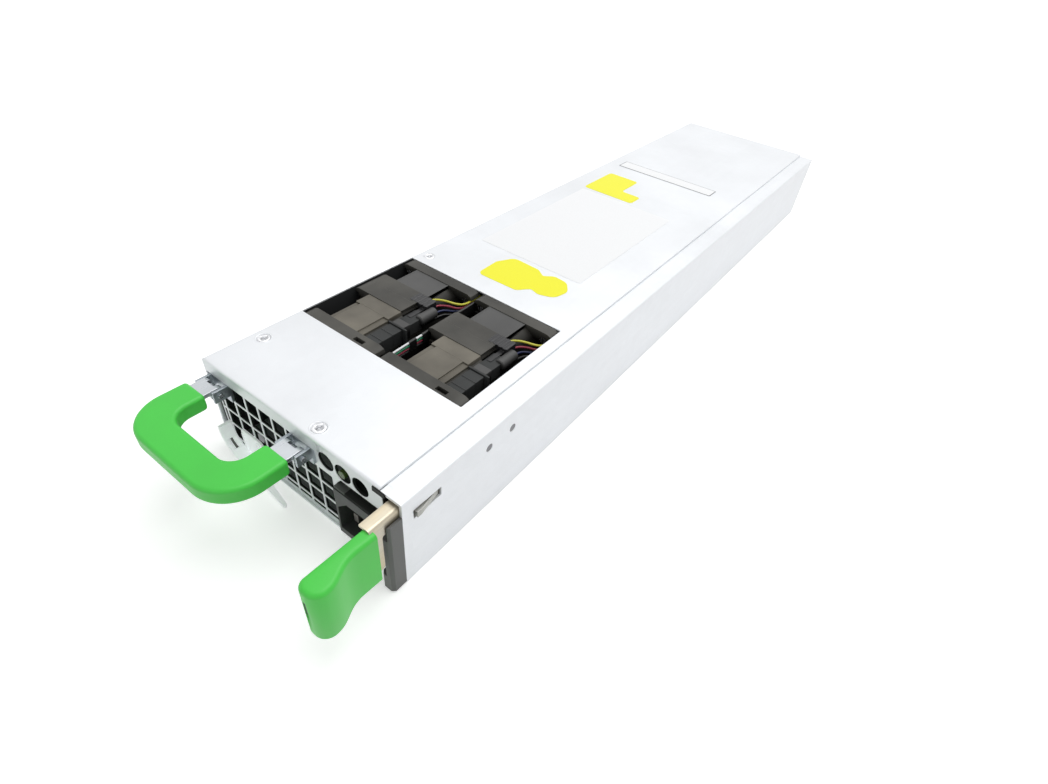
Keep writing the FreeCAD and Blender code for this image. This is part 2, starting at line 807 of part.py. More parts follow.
ledge_wall = slab((f"{LEDGE_SPAN[0]} + ledge_slope", LEDGE_SPAN[1]), (BEHIND_PLATE, "ledge_deep"),
                  ("inlet_top", "ledge_top"))
strip_web = slab(("strip_left", "strip_left + strip_web"), (BEHIND_PLATE, "flange_start + steel"),
                 ("ledge_top - strip_web", f"strip_low + {BITE}"))
strip = slab(("strip_left", "strip_right"), ("-bezel_proud", "flange_start - fit_gap"),
             ("strip_low", UNDER_COVER))
ledge_relief = slab((f"{LEAF_IN} - leaf_flange", "body_wide"), ("-post_deep", f"ledge_deep + {PAST}"),
                    ("leaf_low - leaf_room", "post_top"))
bezel_core = cut(fuse(ledge, ledge_wall, post_root), ledge_relief)
piece("front_bezel", fuse(cut(post, post_relief, post_notch), bezel_core, strip_web, strip))

# Status light behind the middle hole

LED_X = "hole_start + hole_pitch"
LED_BOARD_BACK = "led_board_y + led_board_thick"
piece("led_board", slab(("hole_start - 2 * steel", "strip_left - steel"), ("led_board_y", LED_BOARD_BACK),
                        ("ledge_top", f"{UNDER_COVER} - steel - 3 * fit_gap")))
led_body = rod("Y", LED_X, "led_set_back", "hole_height", "led_radius", "led_board_y - led_set_back")
led_foot = rod("Y", LED_X, "led_board_y - steel", "hole_height", "led_radius + led_rim", "steel")
piece("status_led", fuse(led_body, led_foot))

# Folding handle: flat steel bar in a moulded grip, on two hinge brackets

HINGE_Y = "-hinge_out"
HINGE_Z = "strap_top - knuckle_radius"
SIDES = ("handle_middle - strap_spread / 2", "handle_middle + strap_spread / 2")
BAR_LEFT = "handle_middle - strap_spread / 2 - strap_wide / 2"
BAR_RIGHT = "handle_middle + strap_spread / 2 + strap_wide / 2"
BAR_END = "-(grip_reach - (grip_band - strap_wide) / 2)"
bar_profile = (
    (BAR_LEFT, HINGE_Y),
    (BAR_LEFT, BAR_END),
    (BAR_RIGHT, BAR_END),
    (BAR_RIGHT, HINGE_Y),
    (f"{BAR_RIGHT} - strap_wide", HINGE_Y),
    (f"{BAR_RIGHT} - strap_wide", f"{BAR_END} + strap_wide"),
    (f"{BAR_LEFT} + strap_wide", f"{BAR_END} + strap_wide"),
    (f"{BAR_LEFT} + strap_wide", HINGE_Y),
)
bar_body = outline_pad("XY", bar_profile, "strap_top - strap_thick", "strap_thick")
UP = vec(0, 0, 1)
rounded(bar_body, "grip_corner - (grip_band - strap_wide) / 2",
        lambda edge: runs_along(edge, UP) and abs(edge.CenterOfMass.y - size(BAR_END)) < TOUCH)
rounded(bar_body, "grip_inner_corner",
        lambda edge: runs_along(edge, UP)
        and abs(edge.CenterOfMass.y - size(f"{BAR_END} + strap_wide")) < TOUCH)

bores = []
curls = []
for side in SIDES:
    bores.append(rod("X", f"{side} - strap_wide", HINGE_Y, HINGE_Z, "hinge_pin + hinge_play", "2 * strap_wide"))
    for step in ("-strap_wide / 2", "strap_wide / 4"):
        curls.append(rod("X", f"{side} + {step}", HINGE_Y, HINGE_Z, "knuckle_radius", "strap_wide / 4"))
SPRING_TOP = f"{HINGE_Z} + spring_radius + spring_wire"
spring_windows = [slab((f"{side} - strap_wide / 4", f"{side} + strap_wide / 4"),
                       (f"{HINGE_Y} - knuckle_radius - ear_gap", f"{HINGE_Y} + knuckle_radius"),
                       (f"{HINGE_Z} - knuckle_radius", f"{SPRING_TOP} + fit_gap")) for side in SIDES]
bar = cut(fuse(bar_body, *curls), *bores, *spring_windows)
piece("handle_bar", bar)

GRIP_LEFT = "handle_middle - strap_spread / 2 - grip_band / 2"
GRIP_RIGHT = "handle_middle + strap_spread / 2 + grip_band / 2"
grip_profile = (
    (GRIP_LEFT, "-grip_start"),
    (GRIP_LEFT, "-grip_reach"),
    (GRIP_RIGHT, "-grip_reach"),
    (GRIP_RIGHT, "-grip_start"),
    (f"{GRIP_RIGHT} - grip_band", "-grip_start"),
    (f"{GRIP_RIGHT} - grip_band", "-grip_reach + grip_band"),
    (f"{GRIP_LEFT} + grip_band", "-grip_reach + grip_band"),
    (f"{GRIP_LEFT} + grip_band", "-grip_start"),
)
grip_body = outline_pad("XY", grip_profile, "grip_low", "grip_tall")
rounded(grip_body, "grip_corner",
        lambda edge: runs_along(edge, UP) and abs(edge.CenterOfMass.y + size("grip_reach")) < TOUCH)
rounded(grip_body, "grip_inner_corner",
        lambda edge: runs_along(edge, UP)
        and abs(edge.CenterOfMass.y + size("grip_reach - grip_band")) < TOUCH)
GRIP_FACES = (size("grip_low"), size("grip_low + grip_tall"))
rounded(grip_body, "grip_edge",
        lambda edge: min(abs(edge.BoundBox.ZMin - face) + abs(edge.BoundBox.ZMax - face)
                         for face in GRIP_FACES) < TOUCH)
piece("handle_grip", cut(grip_body, bar_body))

brackets = []
pins = []
springs = []
EAR_IN = "strap_wide / 2 + ear_gap"
EAR_OUT = "strap_wide / 2 + ear_gap + steel"
PIN_HALF = f"{EAR_OUT} + pin_end"
COILS = 5
for side in SIDES:
    bracket_plate = slab((f"{side} - ({EAR_OUT})", f"{side} + {EAR_OUT}"), ("0", FRONT_PLATE),
                         (f"{HINGE_Z} - bracket_drop", f"{TOP} - lip_deep - lip_gap"))
    ears = [slab((f"{side} + {low}", f"{side} + {high}"), (f"{HINGE_Y} - ear_radius", FRONT_PLATE),
                 (f"{HINGE_Z} - ear_radius", f"{HINGE_Z} + ear_radius"))
            for low, high in ((EAR_IN, EAR_OUT), (f"(-({EAR_OUT}))", f"(-({EAR_IN}))"))]
    hole = rod("X", f"{side} - strap_wide", HINGE_Y, HINGE_Z, "hinge_pin", "2 * strap_wide")
    brackets.append(cut(fuse(bracket_plate, *ears), hole))
    pins.append(rod("X", f"{side} - ({PIN_HALF})", HINGE_Y, HINGE_Z, "hinge_pin", f"2 * ({PIN_HALF})"))
    for turn in range(COILS):
        step = f"{turn - (COILS - 1) / 2} * spring_pitch"
        springs.append(ring("X", f"{side} + {step}", HINGE_Y, HINGE_Z, "spring_radius", "spring_wire"))
piece("handle_brackets", *brackets)
piece("handle_pins", *pins)
piece("handle_springs", *springs)

# Latch: sprung leaf inside the right wall, tooth through the slot, thumb lever in front

leaf_side = outline_pad("YZ", (
    ("-leaf_reach", "leaf_top"),
    ("-leaf_reach", "leaf_top - leaf_wing"),
    ("-leg_front", "leg_top"),
    ("-leg_front", "leg_low + leg_round"),
    ("-leg_front + leg_round", "leg_low"),
    ("-leg_back - leg_round / 2", "leg_low"),
    ("-leg_back", "leg_low + leg_round"),
    ("-leg_back", "neck_low"),
    ("flange_start", "neck_low"),
    ("flange_start + leaf_ramp", "leaf_low"),
    ("flex_line", "leaf_low"),
    ("flex_line", "leaf_top"),
), LEAF_IN, "leaf_thick")
leaf_fold = slab((f"{LEAF_OUT} - leaf_flange", LEAF_OUT), ("-leaf_front", "flex_line"),
                 ("leaf_top", "leaf_top + leaf_thick"))
leaf = fuse(leaf_side, leaf_fold)
piece("latch_spring", leaf)
leaf_root = slab((LEAF_IN, WALL_IN), ("flex_line + leaf_split", "root_end"),
                 ("leaf_low", "leaf_top + leaf_thick"))
RIVETS = ("rivet_first", "rivet_second")
piece("latch_root", cut(leaf_root, *[rod("X", f"{LEAF_IN} - {PAST}", y, "rivet_height", "rivet_radius",
                                         f"steel + leaf_thick + 2 * {PAST}") for y in RIVETS]))
rivets = []
for y in RIVETS:
    shank = rod("X", LEAF_IN, y, "rivet_height", "rivet_radius", "steel + leaf_gap + leaf_thick - rivet_sunk")
    head = rod("X", f"{LEAF_IN} - rivet_head", y, "rivet_height", "rivet_radius + rivet_rim", "rivet_head")
    rivets.append(fuse(shank, head))
piece("latch_rivets", *rivets)

piece("latch_tooth", outline_pad("XY", (
    (LEAF_OUT, "tooth_front"),
    ("body_wide + tooth_out", "tooth_front"),
    ("body_wide + tooth_out", "tooth_front + tooth_flat"),
    (f"{WALL_IN} + leaf_gap", "tooth_back"),
    (LEAF_OUT, "tooth_back"),
), "tooth_low", "tooth_tall"))

LEVER_BACK = "-leaf_front + lever_overlap"


def lever_outline():
    """The lever seen from above: slim neck, then a bulged and rounded thumb end."""
    left = size("lever_left")
    neck = size("lever_neck")
    bulge = size("lever_bulge")
    back = size(LEVER_BACK)
    end = -size("lever_end")
    waist = end + size("lever_waist")
    round_start = end + size("lever_round")
    flare = size("lever_flare")
    spots = {
        "left back": vec(left + flare, back, 0),
        "left end": vec(left, round_start, 0),
        "tip": vec((left + bulge) / 2, end, 0),
        "right end": vec(bulge, round_start, 0),
        "hollow": vec((neck + bulge) / 2 - size("lever_hollow"), (waist + round_start) / 2, 0),
        "waist": vec(neck, waist, 0),
        "right back": vec(neck + flare, back, 0),
    }
    return [
        Part.LineSegment(spots["left back"], spots["left end"]),
        Part.Arc(spots["left end"], spots["tip"], spots["right end"]),
        Part.Arc(spots["right end"], spots["hollow"], spots["waist"]),
        Part.LineSegment(spots["waist"], spots["right back"]),
        Part.LineSegment(spots["right back"], spots["left back"]),
    ]


lever_face = Part.Face(Part.Wire([curve.toShape() for curve in lever_outline()]))
lever_face.translate(vec(0, 0, size("lever_low")))
lever_solid = lever_face.extrude(vec(0, 0, size("lever_top - lever_low")))
lever_rims = [edge for edge in lever_solid.Edges
              if edge.BoundBox.ZLength < TOUCH and edge.BoundBox.YMin < size(LEVER_BACK) - TOUCH]
lever_solid = lever_solid.makeFillet(size("lever_edge"), lever_rims)
lever_slot = slab((f"lever_left - {PAST}", "lever_left + lever_slot_deep"),
                  ("-lever_end + lever_edge", "-lever_end + lever_edge + lever_slot_deep"),
                  ("lever_slot_low", "lever_slot_top"))
piece("latch_grip", cut(drawn(lever_solid), leaf, lever_slot))

# Cord clip: an open nylon loop with a tongue, snapped into the air grid

CLIP_LOW = "clip_height - clip_radius"
CLIP_POST_X = "grid_start + 1.5 * grid_pitch"
CLIP_POST_Z = "grid_row_start + grid_row_pitch / 2"
loop = cut(rod("Y", "clip_middle", "-clip_deep", "clip_height", "clip_radius", "clip_deep"),
           rod("Y", "clip_middle", f"-clip_deep - {PAST}", "clip_height", "clip_radius - clip_thick",
               f"clip_deep + 2 * {PAST}"),
           slab((f"clip_middle - clip_radius - {PAST}", f"clip_middle + clip_radius + {PAST}"),
                (f"-clip_deep - {PAST}", f"{PAST}"),
                ("clip_height + clip_mouth", f"clip_height + clip_radius + {PAST}")),
           slab(("clip_middle - clip_slot_left", "clip_middle - clip_slot_left + clip_slot_wide"),
                ("-clip_slot_front", "-clip_slot_front + clip_slot_thick"),
                (CLIP_LOW, "clip_slot_top")))
clip_pad = slab(("clip_middle - clip_pad", "clip_middle + clip_pad"), ("0", FRONT_PLATE),
                (CLIP_LOW, "clip_height + fit_gap"))
clip_post = rod("Y", CLIP_POST_X, "0", CLIP_POST_Z, "clip_post", "4 * steel")
clip_barb = cone("Y", CLIP_POST_X, f"{FRONT_PLATE_BACK} + fit_gap", CLIP_POST_Z, "clip_post + clip_barb",
                 "clip_post - clip_barb", "3 * steel")
tongue = outline_pad("XY", (
    ("clip_middle", "-clip_deep"),
    ("tongue_knee", "-clip_deep - clip_thick"),
    ("tongue_tip - tongue_end / 2", "-tongue_out"),
    ("tongue_tip", "-tongue_out + tongue_end / 2"),
    ("tongue_tip - tongue_end / 2", "-tongue_out + tongue_end"),
    ("tongue_knee", "-clip_deep + clip_thick"),
    ("clip_middle", "-tongue_back"),
), f"{CLIP_LOW} - tongue_back", "clip_thick")
piece("cord_clip", fuse(loop, clip_pad, clip_post, clip_barb, tongue))

# Fans: two square-flanged pairs of axial fans, one turning each way behind the other

FAN_MID_Z = "fan_low + fan_side / 2"
FAN_SPLIT = "fan_start + front_frame_long"
FAN_END = "fan_start + front_frame_long + rear_frame_long"
FAN_SIDES = {"left": "fan_left", "right": "fan_left + fan_pitch"}
FAN_HOLES = [(a, b) for a in (-1, 1) for b in (-1, 1)]
stators = []
bearings = []


def joint_pocket(left):
    """The stretch across a fan where its joint band is open for the leads and the joint clip."""
    return f"{left} + plateau_right", f"{left} + fan_side - wire_notch_wide + {BITE}"


def fan_half(name, side, start, end, flange_first):
    """One housing: outer flange, rounded barrel, joint band, motor plate on struts, bearing tube."""
    left = FAN_SIDES[side]
    mid = f"{left} + fan_side / 2"
    across = (left, f"{left} + fan_side")
    tall = ("fan_low", "fan_low + fan_side")
    length = f"({end}) - ({start})"
    barrel = common(slab(across, (start, end), tall),
                    rod("Y", mid, start, FAN_MID_Z, "barrel_radius", length))
    if flange_first:
        flange = (start, f"{start} + fan_flange")
        band = (f"{end} - fan_band", end)
        motor_plate = (f"{end} - motor_plate", end)
        tube_start = f"{end} - rotor_long_front + tube_short"
        tube_end = end
        iron = (tube_start, motor_plate[0])
    else:
        flange = (f"{end} - fan_flange", end)
        band = (start, f"{start} + fan_band")
        motor_plate = (start, f"{start} + motor_plate")
        tube_start = start
        tube_end = f"{start} + rotor_long_rear - tube_short"
        iron = (motor_plate[1], tube_end)
    pocket = slab(joint_pocket(left), (f"{start} - {PAST}", f"{end} + {PAST}"),
                  ("wire_notch_low", f"{tall[1]} + {PAST}"))
    plateau = slab((f"{left} + plateau_left", f"{left} + plateau_right"), (start, end), (FAN_MID_Z, tall[1]))
    shell = fuse(barrel, plateau, slab(across, flange, tall), cut(slab(across, band, tall), pocket))
    bore = rod("Y", mid, f"{start} - {PAST}", FAN_MID_Z, "fan_bore", f"{length} + 2 * {PAST}")
    notches = [slab(span, (f"{start} - {PAST}", f"{end} + {PAST}"), ("wire_notch_low", "wire_notch_high"))
               for span in ((f"{left} - {PAST}", f"{left} + wire_notch_wide"),
                            (f"{left} + fan_side - wire_notch_wide", f"{left} + fan_side + {PAST}"))]
    holes = [rod("Y", f"{mid} + {a} * fan_screw_pitch / 2", f"{flange[0]} - {PAST}",
                 f"{FAN_MID_Z} + {b} * fan_screw_pitch / 2", "fan_screw_radius", f"fan_flange + 2 * {PAST}")
             for a, b in FAN_HOLES]
    body = cut(shell, bore, *notches, *holes)
    hub = rod("Y", mid, motor_plate[0], FAN_MID_Z, "hub_radius", "motor_plate")
    strut_reach = f"(fan_bore + {BITE})"
    struts = [slab((f"{mid} - {strut_reach}", f"{mid} + {strut_reach}"), motor_plate,
                   (f"{FAN_MID_Z} - strut_wide / 2", f"{FAN_MID_Z} + strut_wide / 2")),
              slab((f"{mid} - strut_wide / 2", f"{mid} + strut_wide / 2"), motor_plate,
                   (f"{FAN_MID_Z} - {strut_reach}", f"{FAN_MID_Z} + {strut_reach}"))]
    tube_long = f"({tube_end}) - ({tube_start})"
    bearing_tube = rod("Y", mid, tube_start, FAN_MID_Z, "bearing_radius + tube_wall", tube_long)
    socket = rod("Y", mid, f"{tube_start} - {PAST}", FAN_MID_Z, "bearing_radius", f"{tube_long} + 2 * {PAST}")
    piece(name, cut(fuse(body, hub, *struts, bearing_tube), socket))
    bearings.append(cut(rod("Y", mid, tube_start, FAN_MID_Z, "bearing_radius", tube_long),
                        rod("Y", mid, f"{tube_start} - {PAST}", FAN_MID_Z, "shaft_radius + shaft_play",
                            f"{tube_long} + 2 * {PAST}")))
    iron_long = f"({iron[1]}) - ({iron[0]}) - 2 * stator_end_gap"
    iron_start = f"{iron[0]} + stator_end_gap"
    stators.append(cut(rod("Y", mid, iron_start, FAN_MID_Z, "stator_radius", iron_long),
                       rod("Y", mid, f"{iron_start} - {PAST}", FAN_MID_Z, "bearing_radius + tube_wall",
                           f"{iron_long} + 2 * {PAST}")))


BLADE_PITCH = {"root": 46, "tip": 58}  # degrees from the fan's axis


def rotor(name, side, start, end, cup_first, blades, sweep):
    """A hub cup with twisted blades, and its shaft. The cup is closed at the end away from the motor plate."""
    left = FAN_SIDES[side]
    mid_x = size(f"{left} + fan_side / 2")
    mid_z = size(FAN_MID_Z)
    low = size(start)
    high = size(end)
    long = high - low
    hub = Part.makeCylinder(size("hub_radius"), long, vec(0, low, 0), vec(0, 1, 0))
    wall = size("hub_wall")
    hollow_low = low + wall if cup_first else low - PAST
    hollow_high = high + PAST if cup_first else high - wall
    hollow = Part.makeCylinder(size("hub_radius") - wall, hollow_high - hollow_low,
                               vec(0, hollow_low, 0), vec(0, 1, 0))
    root_radius = size("hub_radius") - wall / 2
    tip_radius = size("rotor_radius")
    half_thick = size("blade_thick") / 2
    cup = hub.cut(hollow)
    for index in range(blades):
        sections = []
        for radius, pitch in ((root_radius, BLADE_PITCH["root"]), (tip_radius, BLADE_PITCH["tip"])):
            lean = math.radians(pitch) * sweep
            along = vec(math.sin(lean), math.cos(lean), 0)
            side_way = vec(math.cos(lean), -math.sin(lean), 0)
            middle = vec(0, (low + high) / 2, radius)
            spread = radius * math.sin(math.pi / blades)
            corners = [middle + along * (a * spread) + side_way * (b * half_thick)
                       for a, b in ((-1, -1), (1, -1), (1, 1), (-1, 1))]
            sections.append(Part.makePolygon(corners + corners[:1]))
        blade = Part.makeLoft(sections, True, True)
        blade.rotate(vec(), vec(0, 1, 0), 360 / blades * index)
        cup = cup.fuse(blade)
    limit = Part.makeCylinder(tip_radius, long, vec(0, low, 0), vec(0, 1, 0))
    cup = cup.common(limit).cut(hollow).removeSplitter()
    cup.translate(vec(mid_x, 0, mid_z))
    piece(f"{name}_rotor", drawn(cup))
    mid = f"{left} + fan_side / 2"
    shaft_long = f"({end}) - ({start}) - tube_short"
    shaft_start = f"{start} + hub_wall" if cup_first else f"{end} - hub_wall - ({shaft_long})"
    piece(f"{name}_shaft", rod("Y", mid, shaft_start, FAN_MID_Z, "shaft_radius", shaft_long))


FRONT_ROTOR_END = f"{FAN_SPLIT} - motor_plate - rotor_gap"
REAR_ROTOR_START = f"{FAN_SPLIT} + motor_plate + rotor_gap"
for side in FAN_SIDES:
    fan_half(f"fan_{side}_front_frame", side, "fan_start", FAN_SPLIT, True)
    fan_half(f"fan_{side}_rear_frame", side, FAN_SPLIT, FAN_END, False)
    rotor(f"fan_{side}_front", side, f"{FRONT_ROTOR_END} - rotor_long_front", FRONT_ROTOR_END,
          cup_first=True, blades=7, sweep=1)
    rotor(f"fan_{side}_rear", side, REAR_ROTOR_START, f"{REAR_ROTOR_START} + rotor_long_rear",
          cup_first=False, blades=5, sweep=-1)
piece("fan_stators", *stators)
piece("fan_bearings", *bearings)

joint_clips = []
for left in FAN_SIDES.values():
    peg_z = f"{FAN_MID_Z} + barrel_radius - peg_radius - hook_thick"
    peg = rod("Y", f"{left} + peg_x", f"{FAN_SPLIT} - hook_front", peg_z, "peg_radius", "peg_long")
    hook = slab((f"{left} + peg_x - hook_wide / 2", f"{left} + peg_x + hook_wide / 2"),
                (f"{FAN_SPLIT} - hook_front", f"{FAN_SPLIT} - hook_front + hook_head_long"),
                (peg_z, f"{peg_z} + peg_radius + hook_thick"))
    joint_clips.append(cut(fuse(peg, hook), rod("Y", f"{left} + fan_side / 2", "fan_start", FAN_MID_Z,
                                                "barrel_radius + fit_gap", "front_frame_long + fan_side")))
piece("fan_joint_clips", *joint_clips)

BULKHEAD = (FAN_END, f"{FAN_END} + steel")
THROUGH_BULKHEAD = (f"{FAN_END} - {PAST}", f"{FAN_END} + steel + {PAST}")
bulkhead_cuts = []
fan_screws = []
for left in FAN_SIDES.values():
    mid = f"{left} + fan_side / 2"
    bulkhead_cuts.append(rod("Y", mid, THROUGH_BULKHEAD[0], FAN_MID_Z, "fan_bore", f"steel + 2 * {PAST}"))
    bulkhead_cuts.append(slab((f"{left} + fan_side - wire_notch_wide", f"{left} + fan_side + wire_notch_wide"),
                              THROUGH_BULKHEAD, ("wire_notch_low", UNDER_COVER)))
    for a, b in FAN_HOLES:
        x = f"{mid} + {a} * fan_screw_pitch / 2"
        z = f"{FAN_MID_Z} + {b} * fan_screw_pitch / 2"
        bulkhead_cuts.append(rod("Y", x, THROUGH_BULKHEAD[0], z, "fan_screw_radius", f"steel + 2 * {PAST}"))
        shank = rod("Y", x, f"{FAN_END} - fan_flange + fit_gap", z, "fan_screw_radius",
                    "fan_flange + steel - fit_gap")
        head = rod("Y", x, BULKHEAD[1], z, "fan_screw_head", "fan_screw_head_tall")
        fan_screws.append(fuse(shank, head))
bulkhead_cuts.append(slab(("opening_right + 2 * steel", f"{WALL_IN} - steel"), THROUGH_BULKHEAD,
                          ("ac_gate_low", "ac_gate_top")))
bulkhead = slab((PLATE_LEFT, f"{WALL_IN} - fit_gap"), BULKHEAD, ("steel", f"{FLANGE_TOP} - steel"))
piece("fan_bulkhead", cut(bulkhead, *bulkhead_cuts))
piece("fan_screws", *fan_screws)

# Wiring: fan leads, signal wires between the fans, mains wires beside them

LEAD_ANGLES = (36, 32, 28, 24)
LEAD_TIERS = [f"tier_low + {index} * tier_step" for index in range(len(LEAD_ANGLES))]
LEAD_GATE = "fan_side - gate_inset"
GATE_PAST = f"{FAN_END} + gate_past"
BOARD_TOP = "board_low + board_thick"
HEADER_Y = "board_front + header_y"
HEADER_TOP = f"{BOARD_TOP} + header_tall"
PLUG_END = f"{HEADER_TOP} - plug_deep"
PLUG_ROWS = [f"{HEADER_Y} - plug_first + {index} * plug_step" for index in range(len(LEAD_ANGLES))]
signal_wires = []
headers = []
for side, left in FAN_SIDES.items():
    leads = []
    for index, (tier, angle, drop) in enumerate(zip(LEAD_TIERS, LEAD_ANGLES, PLUG_ROWS)):
        across_share = round(math.sin(math.radians(angle)), 4)
        up_share = round(math.cos(math.radians(angle)), 4)
        port = f"{left} + fan_side / 2 + {across_share} * (barrel_radius + port_lift)"
        port_z = f"{FAN_MID_Z} + {up_share} * (barrel_radius + port_lift)"
        gate = f"{left} + {LEAD_GATE}"
        leads.append(tube(f"fan_{side}_lead_{index}", (
            (port, f"{FAN_SPLIT} + port_run", port_z),
            (port, f"{FAN_SPLIT} + fan_band + port_run", port_z),
            (gate, f"{FAN_END} - fan_flange - gate_before", tier),
            (gate, GATE_PAST, tier),
            (gate, drop, f"{tier} - tier_fall"),
            (gate, drop, PLUG_END),
        ), "wire_radius"))
    piece(f"fan_{side}_leads", *leads)
    headers.append(f"{left} + {LEAD_GATE}")
signal_x = "fan_left + fan_pitch + signal_side"
for index, (tier, drop) in enumerate(zip(LEAD_TIERS, PLUG_ROWS)):
    tail = f"{signal_x} + signal_spread + {index} * plug_step"
    signal_wires.append(tube(f"signal_wire_{index}", (
        (tail, LED_BOARD_BACK, f"{tier} - signal_low"),
        (tail, f"{LED_BOARD_BACK} + signal_clear", f"{tier} - signal_low"),
        (f"{signal_x} + signal_turn", "signal_turn_y", f"{tier} - signal_low + signal_rise"),
        (signal_x, "signal_line_y", tier),
        (signal_x, GATE_PAST, tier),
        (signal_x, drop, f"{tier} - tier_fall"),
        (signal_x, drop, PLUG_END),
    ), "wire_radius"))
piece("signal_wires", *signal_wires)

ac_wires = []
for index, (step, lift) in enumerate(BLADES):
    lane = f"opening_right + ac_lane_first + {index} * ac_lane_step"
    tag_z = f"recess_low + recess_tall / 2 + ({lift})"
    ac_wires.append(tube(f"ac_wire_{index}", (
        (f"{INLET_MIDDLE} + {step} * pin_pitch", PIN_BACK, tag_z),
        (f"{INLET_MIDDLE} + {step} * pin_pitch", f"{PIN_BACK} + ac_tag_run", tag_z),
        (lane, "opening_front", "ac_height"),
        (lane, "opening_front + ac_run", "ac_height + ac_ripple"),
        (lane, "opening_front + 2 * ac_run", "ac_height"),
        (lane, "board_front", "ac_height + ac_ripple"),
        (lane, "board_front + ac_reach", "ac_height - 4 * ac_ripple"),
        (lane, "board_front + ac_reach", BOARD_TOP),
    ), "ac_wire_radius"))
piece("ac_wires", *ac_wires)

# Main board on its posts

board_posts = [(x, y) for y in ("board_front + board_inset", "(board_front + board_back) / 2",
                                "board_back - board_inset")
               for x in ("board_left + board_inset", "board_right - board_inset")]
board = slab(("board_left", "board_right"), ("board_front", "board_back"), ("board_low", BOARD_TOP))
FILM_TOP = "steel + film_thick"
SCREW_LOW = "2 * steel"
piece("main_board", cut(board, *[rod("Z", x, y, f"board_low - {PAST}", "board_screw + fit_gap",
                                     f"board_thick + 2 * {PAST}") for x, y in board_posts]))
piece("board_standoffs", *[cut(rod("Z", x, y, "steel", "post_radius", "board_low - steel"),
                               rod("Z", x, y, FILM_TOP, "board_screw", "board_low"))
                           for x, y in board_posts])
piece("board_screws", *[fuse(rod("Z", x, y, SCREW_LOW, "board_screw", f"{BOARD_TOP} - {SCREW_LOW}"),
                             rod("Z", x, y, BOARD_TOP, "board_screw_head", "board_screw_tall"))
                        for x, y in board_posts])
insulation = slab(("board_left", "board_right"), ("board_front", "board_back"), ("steel", FILM_TOP))
piece("insulation_sheet", cut(insulation, *[rod("Z", x, y, "0", "post_radius + lip_gap", "board_low")
                                            for x, y in board_posts]))

# What stands on the board


def on_board(x, y, tall):
    """A block that stands on the board over a rectangle."""
    return slab(x, y, (BOARD_TOP, f"{BOARD_TOP} + {tall}"))


def flat_ring(x, y, radius, wire):
    """A wound ring core that lies on the board."""
    return ring("Z", x, y, f"{BOARD_TOP} + {wire}", radius, wire)


header_blocks = [on_board((f"{column} - header_wide / 3", f"{column} + 2 * header_wide / 3"),
                          (f"{HEADER_Y} - header_long / 2", f"{HEADER_Y} + header_long / 2"), "header_tall")
                 for column in headers]
wire_sockets = [rod("Z", column, row, PLUG_END, "wire_radius", f"plug_deep + {PAST}")
                for column in (*headers, signal_x) for row in PLUG_ROWS]
piece("fan_headers", cut(group(header_blocks), *wire_sockets))

piece("emi_chokes", *[flat_ring("choke_x", f"board_front + choke_first + {step} * choke_pitch",
                                "choke_radius", "choke_wire") for step in range(2)])
x_capacitors = []
for step in range(2):
    near = f"board_front + film_first + {step} * film_pitch"
    x_capacitors.append(on_board(("film_left", "film_left + film_wide"), (near, f"{near} + film_long"),
                                 "film_tall"))
piece("x_capacitors", *x_capacitors)
piece("bridge_rectifier", on_board(("bridge_left", "bridge_left + bridge_wide"),
                                   ("board_front + bridge_first", "board_front + bridge_first + bridge_long"),
                                   "bridge_tall"))
piece("pfc_choke", flat_ring("coil_x", "board_front + coil_y", "coil_radius", "coil_wire"))
piece("bulk_capacitors", *[rod("Y", f"bulk_x + {step} * bulk_pitch", "board_front + bulk_y",
                               f"{BOARD_TOP} + bulk_radius", "bulk_radius", "bulk_long")
                           for step in range(2)])


def comb(x, y):
    """A heat sink: an upright plate with a row of fins to its left."""
    near = f"board_front + {y}"
    blades = []
    for step in range(VALUES["sink_fins"]):
        fin = f"{near} + ({step} + 0.5) * sink_pitch"
        blades.append(on_board((f"{x} - sink_plate - sink_reach", f"{x} - sink_plate / 2"),
                               (f"{fin} - sink_fin / 2", f"{fin} + sink_fin / 2"), "sink_tall"))
    back = on_board((f"{x} - sink_plate", x), (near, f"{near} + sink_fins * sink_pitch"), "sink_tall")
    return fuse(back, *blades)


piece("heatsinks", comb("sink_right", "sink_right_y"), comb("sink_left", "sink_left_y"))
devices = []
for step in range(3):
    near = f"board_front + sink_left_y + device_first + {step} * device_pitch"
    devices.append(on_board(("sink_left", "sink_left + device_thick"), (near, f"{near} + device_wide"),
                            "device_tall"))
piece("power_transistors", *devices)

CORE_X = ("core_left", "core_left + core_wide")
CORE_NEAR = "board_front + core_y"
WINDOW_Y = (f"{CORE_NEAR} + core_long / 4", f"{CORE_NEAR} + 3 * core_long / 4")
WINDOW_Z = (f"{BOARD_TOP} + core_limb", f"{BOARD_TOP} + core_tall - core_limb")
core = cut(slab(CORE_X, (CORE_NEAR, f"{CORE_NEAR} + core_long"), (BOARD_TOP, f"{BOARD_TOP} + core_tall")),
           slab((f"{CORE_X[0]} - {PAST}", f"{CORE_X[1]} + {PAST}"), WINDOW_Y, WINDOW_Z))
winding = slab((f"{CORE_X[0]} - winding_proud", f"{CORE_X[1]} + winding_proud"), WINDOW_Y, WINDOW_Z)
piece("main_transformer", core, winding)
piece("output_inductor", flat_ring("ring_x", "board_front + ring_y", "ring_radius", "ring_wire"))
piece("output_capacitors", *[rod("Z", f"can_x + {column} * can_pitch_x",
                                 f"board_front + can_y + {row} * can_pitch", BOARD_TOP, "can_radius",
                                 "can_tall") for row in range(4) for column in range(2)])
piece("control_board", on_board(("control_x", "control_x + control_thick"),
                                ("board_front + control_y", "board_front + control_y + control_long"),
                                "core_tall"))

# Rear: vented panel, output connector and its contacts

